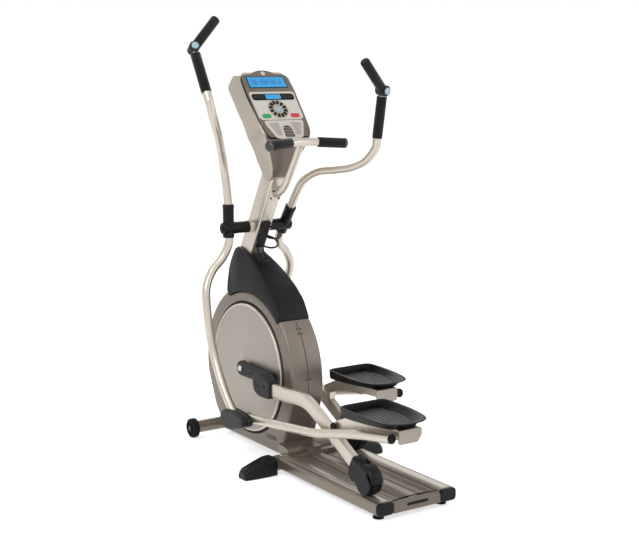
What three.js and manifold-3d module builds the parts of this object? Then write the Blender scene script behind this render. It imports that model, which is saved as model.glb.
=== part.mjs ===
// Elliptical trainer: a front-drive machine with swinging handlebars, two roller arms
// that run on rails, and a tilted console on a leaning mast.
// Millimetres, +Z up, +Y towards the front housing, +X to the user's right.
// Both sides are built once, on the +X side, and the left one is mirrored.
import * as THREE from 'three';
import { mergeVertices } from 'three/addons/utils/BufferGeometryUtils.js';
import Module from 'manifold-3d';

const wasm = await Module();
wasm.setup();

// ---------------------------------------------------------------- driving dimensions
const GAP = 0.3;                 // between pieces that touch or turn on each other
const TUBE_SIDES = 10;
const ROUND_SIDES = 16;
const BIG_ROUND_SIDES = 24;
const BAR_STEPS = 30;

const STRIDE = 444;              // travel of a roller along its rail
const CRANK_RADIUS = STRIDE / 2;
const CRANK_Y = 941;
const CRANK_Z = 315;
const PIN_Y = CRANK_Y - CRANK_RADIUS;   // rearmost place of a crank pin
const AXLE_RADIUS = 12.5;

const RAIL_X = 132;              // middle of a rail, of a roller and of a roller arm
const RAIL_WIDTH = 66;
const RAIL_HEIGHT = 44;
const RAIL_BOTTOM = 18;
const RAIL_REAR = -30;
const RAIL_FRONT = 572;
const RAIL_CAP_LENGTH = 14;
const RAIL_TOP = RAIL_BOTTOM + RAIL_HEIGHT;

const ROLLER_RADIUS = 45.7;
const ROLLER_WIDTH = 24;
const ROLLER_Y = PIN_Y - 664;    // rearmost place of a roller axle
const ROLLER_Z = RAIL_TOP + GAP + ROLLER_RADIUS;
const ROLLER_AXLE_RADIUS = 8;

const ARM_WIDTH = 26;
const ARM_HEIGHT = 50;
const ARM_PIVOT_Y = PIN_Y - 497; // where the pedal link turns on the roller arm
const ARM_PIVOT_Z = 262;
const FORK_PLATE = 5;

const LINK_X = 185;
const LINK_RADIUS = 16;
const LINK_FRONT_Z = 171;
const LINK_REAR_Y = -137;

const PIVOT_Y = 985;             // swing axis of the handlebars
const PIVOT_Z = 859;
const PIVOT_SHAFT_RADIUS = 14;
const BAR_RADIUS = 16;
const BUSH_RADIUS = BAR_RADIUS + 5;
const BAR_X_AT_PIVOT = 125;
const BAR_X_AT_JOINT = 225;
const BAR_FOOT_Y = PIVOT_Y - CRANK_RADIUS;
const BAR_FOOT_Z = LINK_FRONT_Z;
const BAR_LENGTH = Math.hypot(CRANK_RADIUS, PIVOT_Z - BAR_FOOT_Z);
const BAR_SWING = 2 * Math.asin(CRANK_RADIUS / BAR_LENGTH);

const HOUSING_HALF_WIDTH = 70;
const HOUSING_WALL = 3;
const HOUSING_RADIUS = 325;
const HOUSING_Z = 305;
const HOUSING_Y = 945;
const HOUSING_BOTTOM = 20;
const SHROUD_SEAT_RADIUS = 305;  // arc where the black top shroud meets the side shells
const DISC_RADIUS = 250;
const DISC_CLEARANCE = 6;

const MAST_LEAN = THREE.MathUtils.degToRad(29);
const MAST_DEPTH = 80;
const MAST_WIDTH = 60;
const MAST_FOOT_Y = 1047;
const MAST_FOOT_Z = 720;
const MAST_LENGTH = 424;

const STABILIZER_Y = 1160;
const STABILIZER_HALF = 184;
const WHEEL_RADIUS = 38.5;
const WHEEL_WIDTH = 26;
const CROSS_TUBE_HALF = 177;
const CROSS_TUBE_DEPTH = 36;
const SPINE_HALF = 30;
const SPINE_BOTTOM = 22;
const SPINE_TOP = 75;
const FOOT_REACH = 308;
const BRIDGE_HALF = 98;          // plate from the cross tube to the housing
const BRIDGE_FRONT = 683;

const PEDAL_X = 130;
const PEDAL_FLOOR_Z = 338;
const PEDAL_FRONT_Y = 107;
const PEDAL_REAR_Y = -178;
const PEDAL_RIM_FRONT = 33;
const PEDAL_RIM_REAR = 24;
const PEDAL_WALL = 5;

// ---------------------------------------------------------------- materials
const paint = (color, roughness, metalness) =>
  new THREE.MeshStandardMaterial({ color, roughness, metalness });
const silver = paint(0xcfc6ba, 0.38, 0.6);
const taupe = paint(0x948a80, 0.45, 0.5);
const discTaupe = paint(0xaaa196, 0.42, 0.5);
const black = paint(0x1c1c1d, 0.6, 0);
const darkGrey = paint(0x4a4949, 0.55, 0);
const foam = paint(0x242425, 0.9, 0);
const steel = paint(0xb9bcc0, 0.3, 0.9);
const castIron = paint(0x5b5d60, 0.5, 0.8);
const rubber = paint(0x161616, 0.85, 0);
const buttonBlue = paint(0xa9c0cf, 0.35, 0.4);
const screenBlue = paint(0x2fa8ea, 0.2, 0);
const keyGreen = paint(0x2fa463, 0.5, 0);
const keyRed = paint(0xd23b4a, 0.5, 0);

// ---------------------------------------------------------------- geometry helpers
const V3 = (x, y, z) => new THREE.Vector3(x, y, z);

// Shared corners merged, flat triangles dropped, faces turned outwards.
function clean(geometry) {
  const bare = new THREE.BufferGeometry();
  bare.setAttribute('position', geometry.getAttribute('position'));
  if (geometry.index) bare.setIndex(geometry.index);
  const merged = mergeVertices(bare, 1e-3);
  const index = Array.from(merged.index.array);
  const position = merged.getAttribute('position');
  const corner = [V3(), V3(), V3()];
  const faces = [];
  let volume = 0;
  for (let i = 0; i < index.length; i += 3) {
    const face = index.slice(i, i + 3);
    if (new Set(face).size < 3) continue;
    face.forEach((vertex, k) => corner[k].fromBufferAttribute(position, vertex));
    volume += corner[0].dot(corner[1].clone().cross(corner[2]));
    faces.push(face);
  }
  if (volume < 0) faces.forEach((face) => face.reverse());
  merged.setIndex(faces.flat());
  return merged;
}

function toSolid(geometry) {
  const tidy = clean(geometry);
  return new wasm.Manifold(new wasm.Mesh({
    numProp: 3,
    vertProperties: Float32Array.from(tidy.getAttribute('position').array),
    triVerts: Uint32Array.from(tidy.index.array),
  }));
}

function toGeometry(solid) {
  const mesh = solid.asOriginal().getMesh();
  const geometry = new THREE.BufferGeometry();
  geometry.setAttribute('position', new THREE.BufferAttribute(mesh.vertProperties, 3));
  geometry.setIndex(new THREE.BufferAttribute(mesh.triVerts, 1));
  return geometry;
}

const join = (...pieces) =>
  toGeometry(pieces.map(toSolid).reduce((all, solid) => all.add(solid)));
const cut = (piece, ...tools) =>
  toGeometry(tools.reduce((rest, tool) => rest.subtract(toSolid(tool)), toSolid(piece)));
const overlapOf = (...pieces) =>
  toGeometry(pieces.map(toSolid).reduce((all, solid) => all.intersect(solid)));

function block([x0, x1], [y0, y1], [z0, z1]) {
  const box = new THREE.BoxGeometry(x1 - x0, y1 - y0, z1 - z0);
  return box.translate((x0 + x1) / 2, (y0 + y1) / 2, (z0 + z1) / 2);
}

// A cylinder between two points.
function rod(from, to, radius, sides = ROUND_SIDES) {
  const axis = to.clone().sub(from);
  const cylinder = new THREE.CylinderGeometry(radius, radius, axis.length(), sides);
  const turn = new THREE.Quaternion().setFromUnitVectors(V3(0, 1, 0), axis.clone().normalize());
  const middle = from.clone().add(to).multiplyScalar(0.5);
  return cylinder.applyQuaternion(turn).translate(middle.x, middle.y, middle.z);
}

const rodX = (x0, x1, y, z, radius, sides) => rod(V3(x0, y, z), V3(x1, y, z), radius, sides);

// A turned piece on an axis along X; profile points are [radius, x].
function turnedX(profile, y, z, sides = ROUND_SIDES) {
  const points = profile.map(([radius, x]) => new THREE.Vector2(radius, x));
  const lathe = new THREE.LatheGeometry(points, sides);
  return lathe.rotateZ(-Math.PI / 2).translate(0, y, z);
}

function toShape(outline, holes = []) {
  const flat = (points) => points.map(([u, v]) => new THREE.Vector2(u, v));
  const shape = new THREE.Shape(flat(outline));
  shape.holes = holes.map((hole) => new THREE.Path(flat(hole)));
  return shape;
}

function extruded(points, depth, basis, edge = 0, holes = []) {
  const geometry = new THREE.ExtrudeGeometry(toShape(points, holes), {
    depth: depth - 2 * edge,
    bevelEnabled: edge > 0,
    bevelThickness: edge,
    bevelSize: edge,
    bevelOffset: -edge,
    bevelSegments: edge > 5 ? 2 : 1,
    steps: 1,
  });
  return geometry.translate(0, 0, edge).applyMatrix4(basis);
}

// Outline in (y, z), thickness along X.
function plateX(points, [x0, x1], edge, holes) {
  const basis = new THREE.Matrix4().makeBasis(V3(0, 1, 0), V3(0, 0, 1), V3(1, 0, 0));
  return extruded(points, x1 - x0, basis.setPosition(x0, 0, 0), edge, holes);
}

// Outline in (x, z), thickness along Y.
function plateY(points, [y0, y1], edge, holes) {
  const basis = new THREE.Matrix4().makeBasis(V3(1, 0, 0), V3(0, 0, 1), V3(0, -1, 0));
  return extruded(points, y1 - y0, basis.setPosition(0, y1, 0), edge, holes);
}

// Outline in (x, y), thickness along Z.
function plateZ(points, [z0, z1], edge, holes) {
  return extruded(points, z1 - z0, new THREE.Matrix4().setPosition(0, 0, z0), edge, holes);
}

function arc(u, v, radius, start, end, steps) {
  return Array.from({ length: steps + 1 }, (_, i) => {
    const angle = THREE.MathUtils.degToRad(start + (end - start) * i / steps);
    return [u + radius * Math.cos(angle), v + radius * Math.sin(angle)];
  });
}

const circle = (u, v, radius, sides) => arc(u, v, radius, 0, 360, sides).slice(0, -1);

// A polygon with each corner eased over the given distance.
function eased(points, distance, steps = 3) {
  return points.flatMap((point, i) => {
    const corner = new THREE.Vector2(...point);
    const before = new THREE.Vector2(...points[(i + points.length - 1) % points.length]);
    const after = new THREE.Vector2(...points[(i + 1) % points.length]);
    const reach = (other) => Math.min(distance, corner.distanceTo(other) * 0.45);
    const start = corner.clone().lerp(before, reach(before) / corner.distanceTo(before));
    const end = corner.clone().lerp(after, reach(after) / corner.distanceTo(after));
    const curve = new THREE.QuadraticBezierCurve(start, corner, end);
    return curve.getPoints(steps).map(({ x, y }) => [x, y]);
  });
}

// The outline of a band of constant width along a smooth 2-D line.
function band(line, halfWidth, steps) {
  const curve = new THREE.SplineCurve(line.map(([u, v]) => new THREE.Vector2(u, v)));
  const sides = [[], []];
  for (let i = 0; i <= steps; i++) {
    const { x, y } = curve.getPoint(i / steps);
    const along = curve.getTangent(i / steps);
    sides[0].push([x - along.y * halfWidth, y + along.x * halfWidth]);
    sides[1].unshift([x + along.y * halfWidth, y - along.x * halfWidth]);
  }
  return [...sides[0], ...sides[1]].reverse();
}

// A round bar along a smooth line.
function bar(points, radius, steps, sides = TUBE_SIDES) {
  const path = new THREE.CatmullRomCurve3(points, false, 'centripetal');
  return new THREE.ExtrudeGeometry(toShape(circle(0, 0, radius, sides)), {
    steps, extrudePath: path, bevelEnabled: false,
  });
}

function mirroredX(geometry) {
  return clean(clean(geometry).scale(-1, 1, 1));
}

const trainer = new THREE.Group();
trainer.name = 'elliptical_trainer';

function add(name, geometry, material, parent = trainer) {
  const mesh = new THREE.Mesh(clean(geometry), material);
  mesh.name = name;
  parent.add(mesh);
  return mesh;
}

// ---------------------------------------------------------------- base
const mastUp = V3(0, -Math.sin(MAST_LEAN), Math.cos(MAST_LEAN));
const mastRear = V3(0, -Math.cos(MAST_LEAN), -Math.sin(MAST_LEAN));
const mastPoint = (along, rearward) => {
  const point = V3(0, MAST_FOOT_Y, MAST_FOOT_Z).addScaledVector(mastUp, along);
  return point.addScaledVector(mastRear, rearward);
};
const onMast = (along, rearward) => {
  const { y, z } = mastPoint(along, rearward);
  return [y, z];
};
const FLYWHEEL_Y = 775;
const FLYWHEEL_Z = 200;
const FLYWHEEL_RADIUS = 105;
const FLYWHEEL_SHAFT = 8;
const FLYWHEEL_LUGS = [[-46, -40], [14, 20]];
const CROSS_TUBE_Y = [RAIL_FRONT + GAP, RAIL_FRONT + GAP + CROSS_TUBE_DEPTH];

function stadium(u, v, width, height) {
  const radius = height / 2;
  const half = width / 2 - radius;
  return [...arc(u + half, v, radius, -90, 90, 8), ...arc(u - half, v, radius, 90, 270, 8)];
}

function baseFrame() {
  const spine = block([-SPINE_HALF, SPINE_HALF], [CROSS_TUBE_Y[0] + 5, STABILIZER_Y],
    [SPINE_BOTTOM, SPINE_TOP]);
  const crossTube = block([-CROSS_TUBE_HALF, CROSS_TUBE_HALF], CROSS_TUBE_Y, [14, 60]);
  const bridge = block([-BRIDGE_HALF, BRIDGE_HALF], [CROSS_TUBE_Y[1] - 4, BRIDGE_FRONT], [44, 60]);
  const stabilizer = plateX(
    circle(STABILIZER_Y, WHEEL_RADIUS + 2, 24, 20), [-STABILIZER_HALF, STABILIZER_HALF]);
  const wheelPin = rodX(-STABILIZER_HALF - WHEEL_WIDTH - 3, STABILIZER_HALF + WHEEL_WIDTH + 3,
    STABILIZER_Y, WHEEL_RADIUS, 6, 16);
  const [headFrontY, headFrontZ] = onMast(-GAP, -MAST_DEPTH / 2);
  const [headRearY, headRearZ] = onMast(-GAP, MAST_DEPTH / 2);
  const post = plateX([
    [CRANK_Y - 30, SPINE_TOP - 5], [CRANK_Y + 30, SPINE_TOP - 5], [CRANK_Y + 34, CRANK_Z + 105],
    [headFrontY, headFrontZ], [headRearY, headRearZ], [CRANK_Y - 30, CRANK_Z + 155],
  ], [-24, 24]);
  const lugs = FLYWHEEL_LUGS.map(([x0, x1]) => plateX([
    [FLYWHEEL_Y - 22, SPINE_TOP - 5], [FLYWHEEL_Y + 22, SPINE_TOP - 5],
    [FLYWHEEL_Y + 18, FLYWHEEL_Z + 15], [FLYWHEEL_Y - 18, FLYWHEEL_Z + 15],
  ], [x0, x1]));
  const lugFeet = block([FLYWHEEL_LUGS[0][0], FLYWHEEL_LUGS[1][1]], [FLYWHEEL_Y - 22, FLYWHEEL_Y + 22],
    [SPINE_TOP - 8, SPINE_TOP]);
  return cut(
    join(spine, crossTube, bridge, stabilizer, wheelPin, post, ...lugs, lugFeet),
    rodX(-40, 40, CRANK_Y, CRANK_Z, AXLE_RADIUS + GAP),
    rodX(-60, 60, FLYWHEEL_Y, FLYWHEEL_Z, FLYWHEEL_SHAFT + GAP, 20));
}

add('base_frame', baseFrame(), taupe);

const RAIL_OUTLINE = eased([
  [RAIL_X - RAIL_WIDTH / 2, RAIL_BOTTOM], [RAIL_X + RAIL_WIDTH / 2, RAIL_BOTTOM],
  [RAIL_X + RAIL_WIDTH / 2, RAIL_TOP], [RAIL_X - RAIL_WIDTH / 2, RAIL_TOP],
], 16, 4);
const LEVELLER_STEM = 6;

function levellerStem(radius, top) {
  return rod(V3(RAIL_X, 0, 0), V3(RAIL_X, 0, top), radius, 16);
}

function footBlock() {
  const inner = CROSS_TUBE_HALF + GAP;
  const middle = (CROSS_TUBE_Y[0] + CROSS_TUBE_Y[1]) / 2;
  const side = plateY(eased([
    [inner, 4], [inner, 66], [inner + 22, 64], [FOOT_REACH, 32], [FOOT_REACH, 0], [inner + 40, 0],
    [inner + 30, 4],
  ], 5, 2), [middle - 40, middle + 40]);
  const top = plateZ(eased([
    [inner, middle - 34], [FOOT_REACH, middle - 26], [FOOT_REACH, middle + 26], [inner, middle + 34],
  ], 6, 2), [-1, 80]);
  return overlapOf(side, top);
}

const sides = [
  { name: 'left', place: mirroredX },
  { name: 'right', place: (geometry) => geometry },
];

for (const { name, place } of sides) {
  const rail = plateY(RAIL_OUTLINE, [RAIL_REAR, RAIL_FRONT]);
  const cap = plateY(RAIL_OUTLINE, [RAIL_REAR - GAP - RAIL_CAP_LENGTH, RAIL_REAR - GAP], 2);
  add(`rail_${name}`, place(cut(rail, levellerStem(LEVELLER_STEM + GAP, RAIL_BOTTOM + 26))), taupe);
  add(`rail_cap_${name}`, place(cap), black);
  add(`mid_foot_${name}`, place(footBlock()), black);
  const levellerPad = rod(V3(RAIL_X, 0, 0), V3(RAIL_X, 0, 9), 19, 24);
  add(`leveller_${name}`, place(join(levellerPad, levellerStem(LEVELLER_STEM, RAIL_BOTTOM + 22))), rubber);
  add(`transport_wheel_${name}`, place(turnedX([
    [6 + GAP, 0], [WHEEL_RADIUS - 3, 0], [WHEEL_RADIUS, 4], [WHEEL_RADIUS, WHEEL_WIDTH - 4],
    [WHEEL_RADIUS - 3, WHEEL_WIDTH], [6 + GAP, WHEEL_WIDTH], [6 + GAP, 0],
  ], STABILIZER_Y, WHEEL_RADIUS).translate(STABILIZER_HALF + 1, 0, 0)), rubber);
}

function deckCover() {
  const edge = RAIL_X - RAIL_WIDTH / 2 - GAP;
  const channel = plateY([
    [-edge, 24], [-edge, 50], [-edge + 10, 55], [-edge + 15, 45], [-24, 45], [-17, 56], [17, 56], [24, 45],
    [edge - 15, 45], [edge - 10, 55], [edge, 50], [edge, 24],
    [edge - 4, 24], [edge - 4, 40], [-edge + 4, 40], [-edge + 4, 24],
  ], [RAIL_REAR, RAIL_FRONT]);
  const endWall = block([-edge, edge], [RAIL_REAR - 8, RAIL_REAR + 2], [18, 58]);
  return join(channel, endWall);
}

add('deck_cover', deckCover(), taupe);

// ---------------------------------------------------------------- mast
const PIVOT_SHAFT_REACH = 101;

function mastTube(grow) {
  const half = MAST_DEPTH / 2 + grow;
  const width = MAST_WIDTH / 2 + grow;
  return plateX([
    onMast(-grow, -half), onMast(-grow, half), onMast(MAST_LENGTH + grow, half),
    onMast(MAST_LENGTH + grow, -half),
  ], [-width, width], 4);
}

const pivotShaft = rodX(-PIVOT_SHAFT_REACH, PIVOT_SHAFT_REACH, PIVOT_Y, PIVOT_Z, PIVOT_SHAFT_RADIUS);
add('mast', join(mastTube(0), pivotShaft), silver);

// ---------------------------------------------------------------- housing
function housingOutline(radius, inset, seatRadius) {
  const bottom = HOUSING_BOTTOM;
  return [
    ...arc(HOUSING_Y, HOUSING_Z, radius, -12, 62, 7),
    ...arc(HOUSING_Y, HOUSING_Z, seatRadius, 62, 136, 8),
    ...arc(HOUSING_Y, HOUSING_Z, radius, 136, 192, 6),
    [HOUSING_Y - 290 + inset, 150], [HOUSING_Y - 243 + inset, bottom],
    [HOUSING_Y + 190 - inset, bottom], [HOUSING_Y + 262 - inset, 110],
  ];
}

function sideShell() {
  const half = HOUSING_HALF_WIDTH;
  const outer = plateX(housingOutline(HOUSING_RADIUS, 0, SHROUD_SEAT_RADIUS), [-half, half], 14);
  const inner = plateX(housingOutline(HOUSING_RADIUS - HOUSING_WALL, HOUSING_WALL,
    SHROUD_SEAT_RADIUS - HOUSING_WALL), [-half + HOUSING_WALL, half - HOUSING_WALL], 12);
  const keep = block([GAP / 2, half + 1], [500, 1400], [0, 700]);
  const openBottom = block([-half + 8, half - 8], [HOUSING_Y - 222, HOUSING_Y + 172], [0, 60]);
  const discHole = rodX(0, half + 5, CRANK_Y, CRANK_Z, DISC_RADIUS + DISC_CLEARANCE, BIG_ROUND_SIDES);
  const stabilizerNotch = block([0, half + 5], [STABILIZER_Y - 29, STABILIZER_Y + 29],
    [0, WHEEL_RADIUS + 31]);
  const spineNotch = block([0, SPINE_HALF + GAP], [500, 760], [0, SPINE_TOP + GAP]);
  const postNotch = block([0, 27], [CRANK_Y - 60, 1200], [HOUSING_Z + 150, 700]);
  return cut(overlapOf(outer, keep), inner, openBottom, discHole, stabilizerNotch, spineNotch, postNotch);
}

for (const { name, place } of sides) {
  add(`side_shell_${name}`, place(sideShell()), taupe);
}

const SHROUD_REAR = 135.8;       // degrees round the housing

function shroudBody(shrink) {
  const seat = SHROUD_SEAT_RADIUS + GAP;
  const [rearFoot] = arc(HOUSING_Y, HOUSING_Z, HOUSING_RADIUS - shrink, SHROUD_REAR - shrink / 2, 0, 1);
  const side = plateX([
    ...arc(HOUSING_Y, HOUSING_Z, seat - shrink * 3, 62.2, SHROUD_REAR - shrink / 2, 8).reverse(),
    [HOUSING_Y + 160 - shrink, 612], [HOUSING_Y + 161 - shrink, 700],
    [HOUSING_Y + 134 - shrink, 770 - shrink], [HOUSING_Y + 100, 776 - shrink],
    [HOUSING_Y + 40, 752 - shrink], [HOUSING_Y - 38, 718 - shrink], [HOUSING_Y - 94, 686 - shrink],
    [HOUSING_Y - 148 + shrink, 647 - shrink], [HOUSING_Y - 196 + shrink, 594 - shrink], rearFoot,
  ], [-HOUSING_HALF_WIDTH, HOUSING_HALF_WIDTH]);
  const wide = HOUSING_HALF_WIDTH - 2 - shrink;
  const narrow = 43 - shrink;
  const front = plateY([
    [-wide, 480], [wide, 480], [wide, 600], [narrow, 775], [-narrow, 775], [-wide, 600],
  ], [600, 1200]);
  return overlapOf(side, front);
}

add('top_shroud', cut(shroudBody(0), shroudBody(HOUSING_WALL), mastTube(GAP)), black);

// ---------------------------------------------------------------- drive
const PULLEY_RADIUS = 125;
const PULLEY_X = [30, 46];
const SMALL_PULLEY_RADIUS = 22;
const CRANK_X = [84, 104];
const PIN_REACH = RAIL_X - ARM_WIDTH / 2 - GAP;

add('crank_axle', turnedX([
  [0, -CRANK_X[1] - 4], [9, -CRANK_X[1] - 4], [9, -CRANK_X[1] + 2], [AXLE_RADIUS, -CRANK_X[1] + 2],
  [AXLE_RADIUS, CRANK_X[1] - 2], [9, CRANK_X[1] - 2], [9, CRANK_X[1] + 4], [0, CRANK_X[1] + 4],
], CRANK_Y, CRANK_Z), steel);

add('drive_pulley', turnedX([
  [AXLE_RADIUS + GAP, 27], [30, 27], [30, 34], [PULLEY_RADIUS - 14, 34], [PULLEY_RADIUS - 14, PULLEY_X[0]],
  [PULLEY_RADIUS, PULLEY_X[0]], [PULLEY_RADIUS, PULLEY_X[1]], [AXLE_RADIUS + GAP, PULLEY_X[1]],
  [AXLE_RADIUS + GAP, 27],
], CRANK_Y, CRANK_Z, BIG_ROUND_SIDES), darkGrey);

add('flywheel', turnedX([
  [0, -50], [FLYWHEEL_SHAFT, -50], [FLYWHEEL_SHAFT, -22], [FLYWHEEL_RADIUS - 22, -22],
  [FLYWHEEL_RADIUS - 22, -36], [FLYWHEEL_RADIUS, -36], [FLYWHEEL_RADIUS, 6], [FLYWHEEL_RADIUS - 22, 6],
  [FLYWHEEL_RADIUS - 22, -10], [FLYWHEEL_SHAFT, -10], [FLYWHEEL_SHAFT, 24],
  [SMALL_PULLEY_RADIUS, 24], [SMALL_PULLEY_RADIUS, 50], [0, 50],
], FLYWHEEL_Y, FLYWHEEL_Z), castIron);

// The belt is the outline round both pulleys, less the same outline one thickness in.
function beltOutline(offset) {
  const apart = Math.hypot(CRANK_Y - FLYWHEEL_Y, CRANK_Z - FLYWHEEL_Z);
  const { radToDeg } = THREE.MathUtils;
  const heading = radToDeg(Math.atan2(CRANK_Z - FLYWHEEL_Z, CRANK_Y - FLYWHEEL_Y));
  const wrap = radToDeg(Math.acos((PULLEY_RADIUS - SMALL_PULLEY_RADIUS) / apart));
  const back = heading + 180;
  return [
    ...arc(CRANK_Y, CRANK_Z, PULLEY_RADIUS + offset, heading - 180 + wrap, back - wrap, 30),
    ...arc(FLYWHEEL_Y, FLYWHEEL_Z, SMALL_PULLEY_RADIUS + offset, back - wrap, back + wrap, 8),
  ];
}

add('drive_belt', plateX(beltOutline(4), [PULLEY_X[0] + 2, PULLEY_X[1] - 2], 0, [beltOutline(1.2)]), rubber);

function disc() {
  return turnedX([
    [AXLE_RADIUS + GAP, 66], [DISC_RADIUS - 4, 66], [DISC_RADIUS, 69], [DISC_RADIUS, 76],
    [DISC_RADIUS - 4, 78], [DISC_RADIUS - 12, 78], [DISC_RADIUS - 15, 75.5], [34, 77],
    [30, CRANK_X[0] - GAP], [AXLE_RADIUS + GAP, CRANK_X[0] - GAP], [AXLE_RADIUS + GAP, 66],
  ], CRANK_Y, CRANK_Z, BIG_ROUND_SIDES);
}

function crankArm(pinY) {
  const direction = Math.sign(pinY - CRANK_Y);
  const outline = direction > 0
    ? [...arc(CRANK_Y, CRANK_Z, 29, 90, 270, 10), ...arc(pinY, CRANK_Z, 24, -90, 90, 10)]
    : [...arc(CRANK_Y, CRANK_Z, 29, -90, 90, 10), ...arc(pinY, CRANK_Z, 24, 90, 270, 10)];
  const plate = plateX(outline, CRANK_X, 3);
  const pin = rodX(CRANK_X[1] - 5, PIN_REACH, pinY, CRANK_Z, 20);
  return cut(join(plate, pin), rodX(CRANK_X[0] - 5, CRANK_X[1] - 1.7, CRANK_Y, CRANK_Z, AXLE_RADIUS + GAP),
    rodX(CRANK_X[0], CRANK_X[1] + 5, CRANK_Y, CRANK_Z, 9 + GAP, 24));
}

for (const { name, place } of sides) {
  const direction = name === 'left' ? -1 : 1;
  add(`disc_${name}`, place(disc()), discTaupe);
  add(`crank_arm_${name}`, place(crankArm(CRANK_Y + direction * CRANK_RADIUS)), black);
}

// ---------------------------------------------------------------- roller arm and pedal link
const armLine = [
  [PIN_Y - 42, 292], [PIN_Y - 159, 294], [PIN_Y - 219, 300], [PIN_Y - 279, 300], [PIN_Y - 319, 290],
  [PIN_Y - 361, 270], [PIN_Y - 419, 241], [PIN_Y - 507, 195], [ROLLER_Y + 69, ROLLER_Z + 40],
  [ROLLER_Y + 18, ROLLER_Z + 14],
];
const ARM_X = [RAIL_X - ARM_WIDTH / 2, RAIL_X + ARM_WIDTH / 2];

function armTube(grow) {
  return plateX(band(armLine, ARM_HEIGHT / 2 + grow, 14), [ARM_X[0] - grow, ARM_X[1] + grow], grow ? 0 : 4);
}

function frontBlock(grow) {
  return plateX(eased([
    [PIN_Y - 55, 262 - grow], [PIN_Y + 24, 268 - grow], [PIN_Y + 34 + grow, CRANK_Z - 8],
    [PIN_Y + 28 + grow, CRANK_Z + 14], [PIN_Y - 4, CRANK_Z + 20 + grow], [PIN_Y - 55, 316 + grow],
  ], 10, 2), [ARM_X[0] - grow, ARM_X[1] + grow]);
}

function forkPlate([x0, x1]) {
  return plateX([
    ...arc(ROLLER_Y, ROLLER_Z, 18, 130, 310, 8), [ROLLER_Y + 74, ROLLER_Z + 22],
    [ROLLER_Y + 62, ROLLER_Z + 58],
  ], [x0, x1]);
}

const FORK_X = [[ARM_X[0] - FORK_PLATE, ARM_X[0] + 0.4], [ARM_X[1] - 0.4, ARM_X[1] + FORK_PLATE]];

function rollerArm() {
  const tube = cut(armTube(0), rodX(ARM_X[0] - 1, ARM_X[1] + 1, ROLLER_Y, ROLLER_Z, ROLLER_RADIUS + 4));
  const pivotBoss = rodX(ARM_X[0], ARM_X[1], ARM_PIVOT_Y, ARM_PIVOT_Z, 17);
  const bossWeb = block(ARM_X, [ARM_PIVOT_Y - 14, ARM_PIVOT_Y + 14], [ARM_PIVOT_Z - 40, ARM_PIVOT_Z]);
  const axleBore = rodX(ARM_X[0] - 20, ARM_X[1] + 20, ROLLER_Y, ROLLER_Z, ROLLER_AXLE_RADIUS + GAP);
  const pivotBore = rodX(ARM_X[0] - 5, ARM_X[1] + 5, ARM_PIVOT_Y, ARM_PIVOT_Z, 8 + GAP);
  return cut(join(tube, frontBlock(0), pivotBoss, bossWeb, ...FORK_X.map(forkPlate)), axleBore, pivotBore);
}

function armShroud() {
  const outer = plateX(eased([
    [PIN_Y - 66, 258], [PIN_Y + 12, 256], [PIN_Y + 46, 276], [PIN_Y + 52, 330], [PIN_Y + 20, 343],
    [PIN_Y - 66, 326],
  ], 14, 3), [ARM_X[0] - 0.2, ARM_X[1] + 9]);
  return cut(outer, armTube(GAP), frontBlock(GAP));
}

function rollerShroud() {
  const cheekOutline = [
    ...arc(ROLLER_Y, ROLLER_Z, ROLLER_RADIUS - 4, 172, 330, 12), [ROLLER_Y + 116, ROLLER_Z + 26],
    [ROLLER_Y + 87, ROLLER_Z + 86], [ROLLER_Y + 50, ROLLER_Z + 72], [ROLLER_Y + 6, ROLLER_Z + 58],
    [ROLLER_Y - 36, ROLLER_Z + 40],
  ];
  const whole = plateX(cheekOutline, [ARM_X[0] - 15, ARM_X[1] + 15], 3);
  const wheelRoom = rodX(ARM_X[0] - FORK_PLATE - GAP, ARM_X[1] + FORK_PLATE + GAP, ROLLER_Y, ROLLER_Z,
    ROLLER_RADIUS + 3);
  const belowRoom = block([ARM_X[0] - FORK_PLATE - GAP, ARM_X[1] + FORK_PLATE + GAP],
    [ROLLER_Y - 80, ROLLER_Y + 80], [0, ROLLER_Z]);
  const forkRoom = plateX([
    [ROLLER_Y - 20, ROLLER_Z - 20], [ROLLER_Y + 30, ROLLER_Z - 30], [ROLLER_Y + 90, ROLLER_Z + 20],
    [ROLLER_Y + 80, ROLLER_Z + 74], [ROLLER_Y + 4, ROLLER_Z + 46],
  ], [ARM_X[0] - FORK_PLATE - GAP, ARM_X[1] + FORK_PLATE + GAP]);
  const axleRoom = rodX(ARM_X[0] - 12, ARM_X[1] + 12, ROLLER_Y, ROLLER_Z, ROLLER_AXLE_RADIUS + 3);
  return cut(whole, wheelRoom, belowRoom, forkRoom, armTube(GAP), axleRoom);
}

const EAR_CLEARANCE = 2.5;
const EAR_PLATE = 4;
const EAR_X = [
  [ARM_X[0] - EAR_CLEARANCE - EAR_PLATE, ARM_X[0] - EAR_CLEARANCE],
  [ARM_X[1] + EAR_CLEARANCE, ARM_X[1] + EAR_CLEARANCE + EAR_PLATE],
];
const PLATFORM_TOP = PEDAL_FLOOR_Z - GAP;
const PLATFORM_REAR = -145;

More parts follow.
